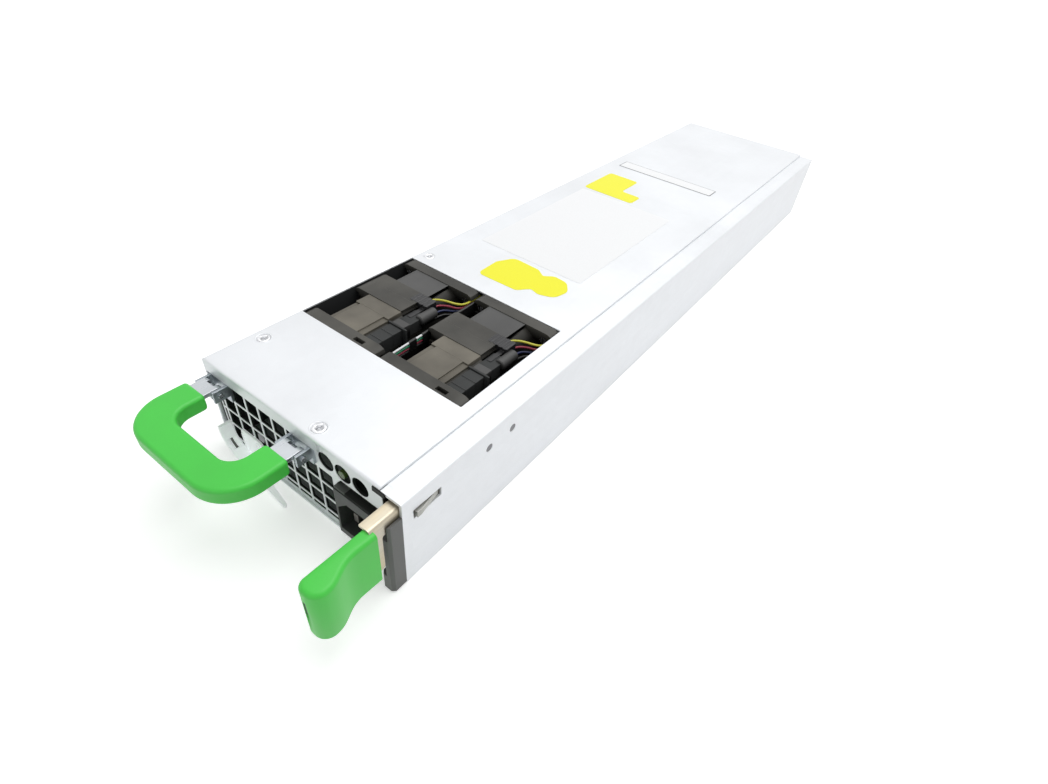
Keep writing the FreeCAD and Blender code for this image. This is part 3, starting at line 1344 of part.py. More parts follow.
CONNECTOR = ("connector_left", "connector_left + connector_wide")
CONNECTOR_Z = ("connector_low", "connector_low + connector_tall")
CONNECTOR_BACK = "body_long + connector_out"
CONNECTOR_FRONT = "board_back - connector_seat"
THROUGH_REAR = (f"{REAR_PLATE} - {PAST}", f"{REAR_PLATE_BACK} + {PAST}")
VENT_Z = (f"{CONNECTOR_Z[1]} + vent_margin", f"{UNDER_COVER} - steel - vent_margin")
VENT_COUNT = 18
rear_plate = slab((PLATE_LEFT, f"{WALL_IN} - fit_gap"), (REAR_PLATE, REAR_PLATE_BACK),
                  ("steel", f"{UNDER_COVER} - steel"))
vents = []
for index in range(VENT_COUNT):
    near = f"vent_start + {index} * vent_pitch"
    vents.append(slab((near, f"{near} + vent_wide"), THROUGH_REAR, VENT_Z))
connector_window = slab((f"{CONNECTOR[0]} - fit_gap", f"{CONNECTOR[1]} + fit_gap"), THROUGH_REAR,
                        (f"{CONNECTOR_Z[0]} - fit_gap", f"{CONNECTOR_Z[1]} + fit_gap"))
piece("rear_panel", cut(rear_plate, connector_window, *vents))

shell = slab(CONNECTOR, (CONNECTOR_FRONT, CONNECTOR_BACK), CONNECTOR_Z)
shell_foot = slab((f"{CONNECTOR[0]} + vent_margin", f"{CONNECTOR[1]} - vent_margin"),
                  (CONNECTOR_FRONT, "board_back - fit_gap"), (BOARD_TOP, f"connector_low + {BITE}"))
BLADE_Z = ("connector_low + connector_wall", "connector_low + connector_tall - connector_wall")
SLOT_END = f"{CONNECTOR_BACK} + {PAST}"
contact_slots = []
contacts = []
for index in range(VALUES["contact_count"]):
    middle = f"connector_left + contact_inset + {index} * contact_pitch"
    low = f"{middle} - contact_slot / 2"
    high = f"{middle} + contact_slot / 2"
    contact_slots.append(slab((low, high), ("body_long - contact_back", SLOT_END), BLADE_Z))
    for span in ((low, f"{low} + contact_thick"), (f"{high} - contact_thick", high)):
        contacts.append(slab(span, ("body_long - contact_back", f"{CONNECTOR_BACK} - contact_thick"), BLADE_Z))
signal_left = "connector_left + contact_inset + contact_count * contact_pitch - contact_thick"
signal_low = "connector_low + connector_tall / 2 - signal_row / 2 - signal_thick / 2"
contact_slots.append(slab((signal_left, f"{CONNECTOR[1]} - connector_wall"),
                          ("body_long - contact_back", SLOT_END),
                          (f"{signal_low} - signal_thick", f"{signal_low} + signal_row + 2 * signal_thick")))
for row in range(2):
    for column in range(4):
        x = f"{signal_left} + signal_thick + {column} * signal_pitch"
        z = f"{signal_low} + {row} * signal_row"
        contacts.append(slab((x, f"{x} + signal_thick"),
                             ("body_long - contact_back", f"{CONNECTOR_BACK} - signal_pitch"),
                             (z, f"{z} + signal_thick")))
piece("output_connector", cut(fuse(shell, shell_foot), *contact_slots))
piece("output_contacts", *contacts)

doc.recompute()

faults = [f"{item.Name} ({item.Label})" for item in doc.Objects
          if "Invalid" in item.State or "Error" in item.State]
for item in PIECES:
    if item.Shape.isNull() or not item.Shape.isValid() or not item.Shape.Solids:
        faults.append(f"{item.Label} has no valid solid")
if faults:
    raise RuntimeError("; ".join(faults))

os.makedirs("parts", exist_ok=True)
for item in PIECES:
    item.Shape.exportStep(f"parts/{item.Label}.step")
whole = FreeCAD.BoundBox()
for item in PIECES:
    whole.add(item.Shape.BoundBox)
print(f"{len(PIECES)} sub-parts, {sum(len(item.Shape.Solids) for item in PIECES)} solids")
print(f"overall {whole.XLength:.2f} x {whole.YLength:.2f} x {whole.ZLength:.2f}")
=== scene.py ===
"""The looks of a slim hot swap power supply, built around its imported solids.

Lengths are written in millimetres in the case's corner frame: X from the left wall, Y from the front
plate, Z from the underside. One matrix carries every mesh from there to the frame's metres.
"""

from math import asin, atan2, cos, pi, radians, sin, sqrt, tan

import bmesh
import bpy
from mathutils import Matrix, Vector

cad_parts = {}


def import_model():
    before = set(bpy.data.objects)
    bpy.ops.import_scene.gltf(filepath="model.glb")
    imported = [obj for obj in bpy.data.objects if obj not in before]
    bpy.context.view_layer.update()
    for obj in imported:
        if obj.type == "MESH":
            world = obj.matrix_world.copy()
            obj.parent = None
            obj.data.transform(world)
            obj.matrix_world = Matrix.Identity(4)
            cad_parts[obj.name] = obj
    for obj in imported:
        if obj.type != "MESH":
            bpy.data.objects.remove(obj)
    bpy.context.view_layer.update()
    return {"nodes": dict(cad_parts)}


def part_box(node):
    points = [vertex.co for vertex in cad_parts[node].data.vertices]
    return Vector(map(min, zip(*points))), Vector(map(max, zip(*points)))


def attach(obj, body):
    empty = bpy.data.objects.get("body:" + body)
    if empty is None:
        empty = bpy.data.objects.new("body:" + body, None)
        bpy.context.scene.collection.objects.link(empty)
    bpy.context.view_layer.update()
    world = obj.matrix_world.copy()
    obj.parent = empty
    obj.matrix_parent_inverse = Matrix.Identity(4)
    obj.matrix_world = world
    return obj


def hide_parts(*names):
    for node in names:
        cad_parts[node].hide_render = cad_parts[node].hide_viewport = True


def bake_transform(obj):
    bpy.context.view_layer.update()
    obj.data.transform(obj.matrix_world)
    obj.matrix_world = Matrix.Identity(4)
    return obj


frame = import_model()

MM = 0.001
COVER_LOW, COVER_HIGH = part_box("top_cover")
CORNER = Vector(COVER_LOW)
TO_FRAME = Matrix.Translation(CORNER) @ Matrix.Scale(MM, 4)
WIDE = (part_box("base_tray")[1].x - CORNER.x) / MM
LONG = (COVER_HIGH.y - CORNER.y) / MM
TALL = (COVER_HIGH.z - CORNER.z) / MM


def at(x, y, z):
    """A point of the corner frame, in the frame's metres."""
    return TO_FRAME @ Vector((x, y, z))


def span(node):
    """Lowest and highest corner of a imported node, in the corner frame's millimetres."""
    low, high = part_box(node)
    return (low - CORNER) / MM, (high - CORNER) / MM


# Materials

EDGE_MATCH = 0.88


class Shader:
    """A short way to add and join the nodes of one material."""

    def __init__(self, name):
        self.material = bpy.data.materials.new(name)
        self.material.use_nodes = True
        self.tree = self.material.node_tree
        self.surface = self.tree.nodes["Principled BSDF"]
        self.where = self.add("ShaderNodeTexCoord").outputs["Object"]

    def add(self, kind, inputs=(), **settings):
        item = self.tree.nodes.new(kind)
        for name, value in settings.items():
            setattr(item, name, value)
        for name, value in dict(inputs).items():
            self.join(value, item.inputs[name])
        return item

    def join(self, value, socket):
        if isinstance(value, bpy.types.NodeSocket):
            self.tree.links.new(value, socket)
        else:
            socket.default_value = value

    def noise(self, scale, detail=3.0, stretch=None):
        """Soft noise, drawn out along the axes that have a small stretch."""
        where = self.where
        if stretch:
            where = self.add("ShaderNodeMapping", {"Vector": where, "Scale": stretch}).outputs["Vector"]
        inputs = {"Vector": where, "Scale": scale, "Detail": detail}
        return self.add("ShaderNodeTexNoise", inputs).outputs["Fac"]

    def spread(self, value, low, high, start=0.3, end=0.7):
        """A value from start to end mapped to low to high."""
        inputs = {"Value": value, "From Min": start, "From Max": end, "To Min": low, "To Max": high}
        return self.add("ShaderNodeMapRange", inputs).outputs["Result"]

    def mix(self, share, first, second):
        """Two colours mixed; the node keeps its colours at sockets 6 and 7."""
        return self.add("ShaderNodeMix", {0: share, 6: first, 7: second}, data_type="RGBA").outputs[2]

    def vector_math(self, operation, inputs, output="Vector"):
        return self.add("ShaderNodeVectorMath", inputs, operation=operation).outputs[output]

    def soft_edges(self, radius):
        return self.add("ShaderNodeBevel", {"Radius": radius}, samples=4).outputs["Normal"]

    def edge_share(self, radius):
        """Near 1 along the edges of a solid, 0 on its faces."""
        flat = self.add("ShaderNodeNewGeometry").outputs["Normal"]
        match = self.vector_math("DOT_PRODUCT", {0: self.soft_edges(radius), 1: flat}, "Value")
        return self.spread(match, 1.0, 0.0, EDGE_MATCH, 1.0)

    def place(self):
        """The point that is shaded, in the corner frame's millimetres."""
        point = self.add("ShaderNodeNewGeometry").outputs["Position"]
        moved = self.vector_math("SUBTRACT", {0: point, 1: CORNER})
        return self.vector_math("SCALE", {0: moved, "Scale": 1.0 / MM})

    def inside(self, low, high, soft=0.1):
        """1 inside a box of the corner frame, 0 outside it."""
        middle = (Vector(low) + Vector(high)) / 2
        half = (Vector(high) - Vector(low)) / 2
        away = self.vector_math("SUBTRACT", {0: self.place(), 1: middle})
        away = self.vector_math("ABSOLUTE", {0: away})
        parts = self.add("ShaderNodeSeparateXYZ", {"Vector": away}).outputs
        share = 1.0
        for part, reach in zip(parts, half):
            step = self.spread(part, 1.0, 0.0, reach - soft, reach)
            share = self.add("ShaderNodeMath", {0: share, 1: step}, operation="MULTIPLY").outputs[0]
        return share

    def bump(self, height, strength, distance, normal=None):
        item = self.add("ShaderNodeBump", {"Height": height, "Strength": strength, "Distance": distance})
        if normal is not None:
            self.join(normal, item.inputs["Normal"])
        return item.outputs["Normal"]

    def set(self, **values):
        for name, value in values.items():
            self.join(value, self.surface.inputs[name.replace("_", " ")])
        return self.material


def shade(colour, factor=1.0):
    """An opaque colour made darker or lighter."""
    return tuple(min(1.0, part * factor) for part in colour) + (1.0,)


def sheet_steel(name, colour, roughness, room, spangle=0.05, streak=0.02, metallic=0.4):
    """Zinc-coated sheet: crystal patches, fine speckle, faint rolling streaks, and painted shade without
    gloss inside the case.
    """
    shader = Shader(name)
    crystals = shader.add("ShaderNodeTexVoronoi", {"Vector": shader.where, "Scale": 260.0,
                                                   "Randomness": 1.0}).outputs["Color"]
    tone = shader.add("ShaderNodeSeparateColor", {"Color": crystals}).outputs["Red"]
    speckle = shader.noise(5200.0, 2.0)
    streaks = shader.noise(900.0, 4.0, (0.35, 0.012, 0.35))
    clouds = shader.noise(22.0, 3.0)
    base = shader.mix(shader.spread(clouds, 0.0, 1.0), shade(colour, 0.97), shade(colour, 1.02))
    base = shader.mix(shader.spread(tone, 0.0, spangle, 0.0, 1.0), base, shade(colour, 0.72))
    base = shader.mix(shader.spread(streaks, 0.0, streak, 0.35, 0.65), base, shade(colour, 0.6))
    base = shader.mix(shader.spread(speckle, 0.0, 0.2, 0.52, 0.74), base, shade(colour, 0.7))
    # Painted shade: inside the box the sheet turns near black and loses its metal look and its gloss
    shadow = shader.inside(*room)
    base = shader.mix(shadow, base, shade(colour, 0.05))
    metal = shader.spread(shadow, metallic, 0.0, 0.0, 1.0)
    gloss = shader.spread(shadow, 0.5, 0.0, 0.0, 1.0)
    rough = shader.spread(clouds, roughness - 0.05, roughness + 0.06)
    soft = shader.soft_edges(0.0003)
    normal = shader.bump(speckle, 0.16, 0.00006, soft)
    return shader.set(Base_Color=base, Metallic=metal, Roughness=rough, Specular_IOR_Level=gloss,
                      Normal=normal)


def plated(name, colour, roughness, grain, stretch, metallic=1.0, tint=None):
    """Plated or brushed metal with grain along one direction and worn, brighter edges."""
    shader = Shader(name)
    lines = shader.noise(grain, 4.0, stretch)
    clouds = shader.noise(90.0, 3.0)
    second = tint if tint else colour
    base = shader.mix(shader.spread(clouds, 0.0, 1.0), shade(colour, 0.9), shade(second, 1.05))
    base = shader.mix(shader.spread(lines, 0.0, 0.3), base, shade(colour, 0.72))
    base = shader.mix(shader.edge_share(0.0003), base, shade(colour, 1.25))
    rough = shader.spread(lines, roughness - 0.06, roughness + 0.1)
    normal = shader.bump(lines, 0.12, 0.00004, shader.soft_edges(0.00022))
    return shader.set(Base_Color=base, Metallic=metallic, Roughness=rough, Normal=normal)


def moulded(name, colour, roughness=0.5, grain=0.25, grain_scale=3200.0, edge=0.00025, wear=1.25,
            clouds=0.06, depth=None, room=None, gloss=0.5, **more):
    """Moulded plastic: fine spark texture, slight colour drift, edges rubbed a little lighter, and painted
    shade below given heights or inside a given box.
    """
    shader = Shader(name)
    fine = shader.noise(grain_scale, 2.0)
    broad = shader.noise(55.0, 3.0)
    darker, lighter = shade(colour, 1.0 - clouds), shade(colour, 1.0 + clouds)
    base = shader.mix(shader.spread(broad, 0.0, 1.0), darker, lighter)
    base = shader.mix(shader.spread(fine, 0.0, 0.18), base, shade(colour, 0.86))
    base = shader.mix(shader.edge_share(edge), base, shade(colour, wear))
    # Painted shade: below the given heights the plastic turns near black and loses its gloss
    if depth:
        height = shader.add("ShaderNodeSeparateXYZ", {"Vector": shader.place()}).outputs["Z"]
        base = shader.mix(shader.spread(height, 1.0, 0.0, *depth), base, shade(colour, 0.12))
        gloss = shader.spread(height, 0.02, gloss, *depth)
    # Painted shade: inside the box the plastic is darkened and loses most of its gloss
    if room:
        share = shader.inside(*room)
        base = shader.mix(share, base, shade(colour, 0.25))
        gloss = shader.spread(share, gloss, 0.08, 0.0, 1.0)
    rough = shader.spread(broad, roughness - 0.05, roughness + 0.07)
    normal = shader.bump(fine, grain, 0.00005, shader.soft_edges(edge))
    return shader.set(Base_Color=base, Roughness=rough, Specular_IOR_Level=gloss, Normal=normal, **more)


def winding(name, colour, pitch, axis):
    """Enamelled wire wound side by side: round ridges across one axis."""
    shader = Shader(name)
    ridges = shader.add("ShaderNodeTexWave", {"Vector": shader.where, "Scale": pitch, "Distortion": 0.6,
                                              "Detail": 1.0}, bands_direction=axis).outputs["Fac"]
    # The grooves between the turns are darker: painted shade
    base = shader.mix(shader.spread(ridges, 0.0, 1.0, 0.1, 0.9), shade(colour, 0.35), shade(colour, 1.1))
    normal = shader.bump(ridges, 0.7, 0.0003)
    return shader.set(Base_Color=base, Metallic=0.7, Roughness=0.34, Normal=normal)


def circuit_board(name):
    """Green solder mask with lighter copper runs under it and small plated dots."""
    shader = Shader(name)
    mask = (0.012, 0.11, 0.045)
    runs = shader.add("ShaderNodeTexBrick", {"Vector": shader.where, "Scale": 90.0, "Mortar Size": 0.016},
                      offset=0.37).outputs["Fac"]
    dots = shader.add("ShaderNodeTexVoronoi", {"Vector": shader.where, "Scale": 330.0}).outputs["Distance"]
    base = shader.mix(runs, shade(mask), shade((0.03, 0.2, 0.07)))
    base = shader.mix(shader.spread(dots, 1.0, 0.0, 0.1, 0.14), base, shade((0.6, 0.58, 0.5)))
    normal = shader.bump(runs, 0.4, 0.0001)
    return shader.set(Base_Color=base, Roughness=0.32, Normal=normal)


def sleeve(name, colour, stripe):
    """A shrink-sleeved can with one paler stripe."""
    shader = Shader(name)
    wave = shader.noise(40.0, 1.0)
    fine = shader.noise(2600.0, 2.0)
    base = shader.mix(shader.spread(wave, 0.0, 1.0, 0.58, 0.6), shade(colour), shade(stripe))
    normal = shader.bump(fine, 0.1, 0.00005, shader.soft_edges(0.0006))
    return shader.set(Base_Color=base, Roughness=0.28, Normal=normal)


def sticker(name, colour, roughness):
    """Printed foil: a flat tone with faint paper mottling and tiny dents."""
    shader = Shader(name)
    fine = shader.noise(1500.0, 2.0)
    dents = shader.noise(140.0, 3.0)
    base = shader.mix(shader.spread(fine, 0.0, 0.5), shade(colour), shade(colour, 0.93))
    normal = shader.bump(dents, 0.1, 0.0002)
    return shader.set(Base_Color=base, Roughness=roughness, Normal=normal)


# Boxes inside which the sheet and the bezel get painted shade and lose their gloss, and the heights of the
# painted shade in the fans

ROOM_EDGE = 0.8
ROOM_FRONT = (ROOM_EDGE, 1.15, 0.95)
ROOM_REAR = LONG - 2.4
TRAY_SHADE_BOX = (ROOM_FRONT, (WIDE - ROOM_EDGE, ROOM_REAR, TALL - 1.02))
COVER_SHADE_BOX = (ROOM_FRONT, (WIDE - 9.6, ROOM_REAR, TALL - 0.5))
BEZEL_SHADE_BOX = ((70.0, -3.0, 20.0), (90.1, 20.0, 41.0), 0.25)
FAN_SHADE = (35.5, 39.3)

# One material for each finish

SHEET = (0.84, 0.86, 0.885)
STEEL = sheet_steel("cover sheet", SHEET, 0.42, COVER_SHADE_BOX)
STEEL_SIDE = sheet_steel("tray sheet", SHEET, 0.46, TRAY_SHADE_BOX, spangle=0.08, streak=0.04)
STEEL_GRILLE = sheet_steel("grille sheet", (0.84, 0.86, 0.88), 0.4, TRAY_SHADE_BOX, spangle=0.1)
ZINC = plated("zinc strap", (0.62, 0.65, 0.68), 0.3, 700.0, (1.0, 0.12, 1.0))
BRACKET_ZINC = plated("bracket zinc", (0.4, 0.44, 0.47), 0.34, 700.0, (1.0, 0.12, 1.0))
TOOTH_ZINC = plated("tooth zinc", (0.42, 0.42, 0.39), 0.42, 500.0, (0.1, 1.0, 0.1), metallic=0.6)
YELLOW_ZINC = plated("yellow zinc", (0.56, 0.53, 0.45), 0.36, 1500.0, (1.0, 0.08, 1.0), metallic=0.75,
                     tint=(0.52, 0.44, 0.3))
COVER_SCREW = plated("cover screw", (0.8, 0.81, 0.83), 0.4, 1600.0, (1.0, 1.0, 0.1))
SCREW_STEEL = plated("screw steel", (0.62, 0.63, 0.65), 0.3, 1600.0, (1.0, 1.0, 0.1))
SPRING_STEEL = plated("spring steel", (0.42, 0.44, 0.46), 0.25, 2400.0, (0.1, 1.0, 1.0))
RIVET_STEEL = plated("rivet steel", (0.2, 0.2, 0.21), 0.4, 1600.0, (1.0, 1.0, 1.0))
CONTACT = plated("contact metal", (0.83, 0.68, 0.36), 0.25, 1500.0, (1.0, 0.1, 1.0))
INLET_CONTACT = plated("inlet contact", (0.2, 0.19, 0.17), 0.4, 1500.0, (1.0, 0.1, 1.0))
EXTRUSION = plated("heat sink", (0.72, 0.73, 0.75), 0.36, 900.0, (1.0, 0.05, 1.0))
GREEN = moulded("green grip", (0.066, 0.62, 0.066), 0.42, grain=0.3, grain_scale=2600.0, wear=1.12,
                clouds=0.04)
# The bezel moulding is darkened inside its box: painted shade
BEZEL_BLACK = moulded("bezel moulding", (0.11, 0.113, 0.108), 0.46, wear=1.7, gloss=0.35, room=BEZEL_SHADE_BOX)
# A dark sheet that stands for the shade in the lever's slot: painted shade
GREEN_SHADE = moulded("green recess", (0.012, 0.045, 0.014), 0.6, wear=1.0)
BLACK = moulded("black moulding", (0.055, 0.057, 0.055), 0.46, wear=1.9, gloss=0.35)
# The fans' plastic gets painted shade towards the bottom of the shade heights
FAN_FRAME = moulded("fan moulding", (0.06, 0.058, 0.051), 0.46, grain=0.35, grain_scale=2200.0,
                    wear=1.6, clouds=0.45, depth=FAN_SHADE, gloss=0.3)
FAN_FRONT = moulded("front fan plate", (0.145, 0.133, 0.108), 0.46, grain=0.4, grain_scale=1500.0,
                    wear=1.2, clouds=0.4, depth=FAN_SHADE, gloss=0.3)
FAN_REAR = moulded("rear fan plate", (0.085, 0.085, 0.084), 0.44, grain=0.4, grain_scale=1500.0,
                   wear=1.3, clouds=0.2, depth=FAN_SHADE, gloss=0.3)
FAN_DARK = moulded("fan panel", (0.04, 0.042, 0.042), 0.5, grain=0.3, wear=1.8, clouds=0.2, gloss=0.2)
BLADE_PLASTIC = moulded("blade moulding", (0.018, 0.018, 0.02), 0.32, grain=0.1, wear=2.0)
# The nylon glows a little though it is no lamp: painted light that keeps the clip near white
NYLON = moulded("natural nylon", (0.93, 0.95, 0.965), 0.42, grain=0.1, wear=1.0, clouds=0.01,
                Emission_Color=(0.96, 0.98, 1.0, 1.0), Emission_Strength=0.2)
# A dark sheet that stands for the shade in the clip's slot: painted shade
NYLON_SHADE = moulded("nylon recess", (0.13, 0.13, 0.12), 0.5, wear=1.0)
HEADER_NYLON = moulded("header nylon", (0.8, 0.77, 0.66), 0.45)
TRANSFORMER = moulded("yellow tape", (0.68, 0.5, 0.06), 0.32, grain=0.2)
FILM_BOX = moulded("film capacitor box", (0.75, 0.56, 0.09), 0.35)
EPOXY = moulded("epoxy package", (0.03, 0.03, 0.03), 0.45, grain=0.4)
INSULATION = moulded("insulating sheet", (0.7, 0.68, 0.58), 0.4)
COPPER = winding("enamelled winding", (0.62, 0.24, 0.1), 420.0, "X")
STATOR = winding("fan winding", (0.6, 0.26, 0.1), 520.0, "Y")
CAN = sleeve("sleeved can", (0.03, 0.05, 0.16), (0.5, 0.55, 0.65))
BOARD = circuit_board("circuit board")
LABEL = sticker("white label", (0.91, 0.92, 0.93), 0.42)
LABEL_EDGE = sticker("grey label", (0.2, 0.21, 0.22), 0.4)
YELLOW_LABEL = sticker("yellow label", (0.93, 0.9, 0.015), 0.42)
LIGHT_BODY = moulded("tinted light", (0.1, 0.16, 0.04), 0.25, grain=0.05, Transmission_Weight=0.3, IOR=1.5)
WIRE_COLOURS = {
    "yellow": (0.62, 0.6, 0.05),
    "red": (0.3, 0.02, 0.05),
    "black": (0.012, 0.012, 0.012),
    "blue": (0.012, 0.022, 0.09),
    "white": (0.85, 0.86, 0.87),
    "green": (0.015, 0.28, 0.13),
    "brown": (0.16, 0.06, 0.025),
}
WIRE_RADIUS = 0.45
WIRE = {name: moulded(f"{name} wire", colour, 0.34, grain=0.08, wear=1.05)
        for name, colour in WIRE_COLOURS.items()}


# Mesh building, in the corner frame's millimetres


def flat_to_space(axis, u, v, w):
    return {"X": (w, u, v), "Y": (u, w, v), "Z": (u, v, w)}[axis]


def arc_corners(corners, steps=7):
    """An outline whose corners (u, v, radius) are rounded; radius 0 keeps a corner sharp."""
    outline = []
    count = len(corners)
    for index, (u, v, radius) in enumerate(corners):
        here = Vector((u, v))
        if not radius:
            outline.append(here)
            continue
        back = (Vector(corners[index - 1][:2]) - here).normalized()
        ahead = (Vector(corners[(index + 1) % count][:2]) - here).normalized()
        half = back.angle(ahead) / 2
        reach = radius / tan(half)
        middle = here + (back + ahead).normalized() * (radius / sin(half))
        start = here + back * reach - middle
        end = here + ahead * reach - middle
        turn = start.angle_signed(end)
        for step in range(steps + 1):
            share = -turn * step / steps
            outline.append(middle + Matrix.Rotation(share, 2) @ start)
    return outline


def rounded_box(u, v, low_radius, high_radius=None, steps=6):
    """A rectangle whose corners have one radius at v[0] and perhaps another at v[1]."""
    high_radius = high_radius or low_radius
    return arc_corners([(u[0], v[0], low_radius), (u[1], v[0], low_radius),
                        (u[1], v[1], high_radius), (u[0], v[1], high_radius)], steps)


def quarter(steps):
    """The angles of a quarter turn in even steps."""
    return [pi / 2 * step / steps for step in range(steps + 1)]


def join_rings(mesh, first, second):
    """Faces between two rings of equally many vertices."""
    count = len(first)
    for index in range(count):
        after = (index + 1) % count
        mesh.faces.new((first[index], first[after], second[after], second[index]))


def prism(mesh, outline, axis, low, high):
    """A solid of one outline between two heights along an axis."""
    rings = [[mesh.verts.new(flat_to_space(axis, u, v, w)) for u, v in outline] for w in (low, high)]
    mesh.faces.new(rings[0][::-1])
    mesh.faces.new(rings[1])
    join_rings(mesh, *rings)


def slab(mesh, x, y, z):
    prism(mesh, [(x[0], y[0]), (x[1], y[0]), (x[1], y[1]), (x[0], y[1])], "Z", *z)


def loft(mesh, rings):
    """A solid through rings that hold equally many points each."""
    made = [[mesh.verts.new(point) for point in ring] for ring in rings]
    for first, second in zip(made, made[1:]):
        join_rings(mesh, first, second)
    mesh.faces.new(made[0][::-1])
    mesh.faces.new(made[-1])


def turned(mesh, axis, centre, profile, segments=40):
    """A solid of revolution about an axis; the profile is pairs of radius and distance along it."""
    rings = []
    for radius, along in profile:
        ring = []
        for index in range(segments):
            angle = 2 * pi * index / segments
            u, v = radius * cos(angle), radius * sin(angle)
            ring.append(Vector(flat_to_space(axis, u, v, along)) + Vector(centre))
        rings.append(ring)
    loft(mesh, rings)


def hollow_ring(mesh, centre, outer, inner, y, angles):
    """A plate or barrel along Y between an outer and an inner outline, both given by angle."""
    cx, cz = centre
    walls = []
    for reach, where in ((outer, y[0]), (outer, y[1]), (inner, y[1]), (inner, y[0])):
        walls.append([mesh.verts.new((cx + reach(angle) * cos(angle), where,
                                      cz + reach(angle) * sin(angle))) for angle in angles])
    for first, second in zip(walls, walls[1:] + walls[:1]):
        join_rings(mesh, first, second)


def mesh_of(shape, *sizes):
    """A new mesh with a single shape in it, such as a cutter."""
    mesh = bmesh.new()
    shape(mesh, *sizes)
    return mesh


def new_object(name, data):
    item = bpy.data.objects.new(name, data)
    bpy.context.scene.collection.objects.link(item)
    return item


def as_object(name, mesh, smooth=34.0):
    """A Blender object from millimetres in the corner frame."""
    bmesh.ops.recalc_face_normals(mesh, faces=mesh.faces)
    mesh.transform(TO_FRAME)
    data = bpy.data.meshes.new(name)
    mesh.to_mesh(data)
    mesh.free()
    data.shade_smooth()
    data.set_sharp_from_angle(angle=radians(smooth))
    return new_object(name, data)


def apply_modifiers(item):
    """Keeps an object's shape as its modifiers leave it."""
    graph = bpy.context.evaluated_depsgraph_get()
    data = bpy.data.meshes.new_from_object(item.evaluated_get(graph))
    item.modifiers.clear()
    item.data = data


def soften(item, width, segments=2, angle=50.0):
    """Rounds the sharp edges of a piece."""
    bevel = item.modifiers.new("edges", "BEVEL")
    bevel.width = width * MM
    bevel.segments = segments
    bevel.limit_method = "ANGLE"
    bevel.angle_limit = radians(angle)
    bevel.harden_normals = True
    bevel.use_clamp_overlap = True
    apply_modifiers(item)


def carve(item, *tools, operation="DIFFERENCE"):
    """Cuts closed meshes out of a piece, or joins them to it."""
    for tool in tools:
        cutter = as_object("cutter", tool)
        boolean = item.modifiers.new("cut", "BOOLEAN")
        boolean.operation = operation
        boolean.solver = "EXACT"
        boolean.use_self = True
        boolean.object = cutter
        bpy.context.view_layer.update()
        apply_modifiers(item)
        bpy.data.objects.remove(cutter)


def dress(item, material, slot, *nodes, body="case"):
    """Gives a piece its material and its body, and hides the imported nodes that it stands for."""
    item.data.materials.clear()
    item.data.materials.append(material)
    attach(item, body)
    if nodes:
        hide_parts(*nodes)


def soft_piece(name, mesh, width, material, slot, *nodes, segments=2):
    """A small piece of the case with soft edges."""
    piece = as_object(name, mesh)
    soften(piece, width, segments)
    dress(piece, material, slot, *nodes)


def first_only(index, node):
    """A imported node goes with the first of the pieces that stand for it."""
    return (node,) if index == 0 else ()


def wire(name, points, colour, *nodes):
    """A round wire whose line is one smooth spline near the points."""
    curve = bpy.data.curves.new(name, "CURVE")
    curve.dimensions = "3D"
    curve.bevel_depth = WIRE_RADIUS * MM
    curve.bevel_resolution = 4
    curve.resolution_u = 10
    curve.use_fill_caps = True
    spline = curve.splines.new("NURBS")
    spline.points.add(len(points) - 1)
    for held, point in zip(spline.points, points):
        held.co = (*at(*point), 1.0)
    spline.order_u = 3
    spline.use_endpoint_u = True
    dress(new_object(name, curve), WIRE[colour], "wire", *nodes)


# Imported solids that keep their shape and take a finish

FAN_SIDES = ("left", "right")
FAN_NAMES = [f"fan_{side}_{half}" for side in FAN_SIDES for half in ("front", "rear")]
FINISHES = (
    (STEEL_SIDE, "base_tray", "rear_panel", "fan_bulkhead"),
    (STEEL_GRILLE, "front_grille"),
    (SCREW_STEEL, "fan_screws", "board_screws", "board_standoffs", *(f"{fan}_shaft" for fan in FAN_NAMES)),
    (BLADE_PLASTIC, *(f"{fan}_rotor" for fan in FAN_NAMES)),
    (ZINC, "handle_bar"), (BRACKET_ZINC, "handle_brackets"), (SPRING_STEEL, "handle_pins"),
    (RIVET_STEEL, "latch_rivets"), (TOOTH_ZINC, "latch_tooth"), (BEZEL_BLACK, "front_bezel"),
    (BLACK, "ac_inlet", "output_connector"), (INLET_CONTACT, "inlet_pins"),
    (CONTACT, "fan_bearings", "output_contacts"), (LIGHT_BODY, "status_led"),
    (BOARD, "led_board", "main_board", "control_board"), (INSULATION, "insulation_sheet"),
    (STATOR, "fan_stators"), (HEADER_NYLON, "fan_headers"), (WIRE["brown"], "ac_wires"),
    (COPPER, "emi_chokes", "pfc_choke", "output_inductor"), (FILM_BOX, "x_capacitors"),
    (CAN, "bulk_capacitors", "output_capacitors"), (EPOXY, "bridge_rectifier", "power_transistors"),
    (EXTRUSION, "heatsinks"), (TRANSFORMER, "main_transformer"),
)
for material, *nodes in FINISHES:
    for node in nodes:
        shown = frame["nodes"][node].data
        shown.materials.clear()
        shown.materials.append(material)

# Cover: folded sheet with soft folds, screw holes and the opening over the fans

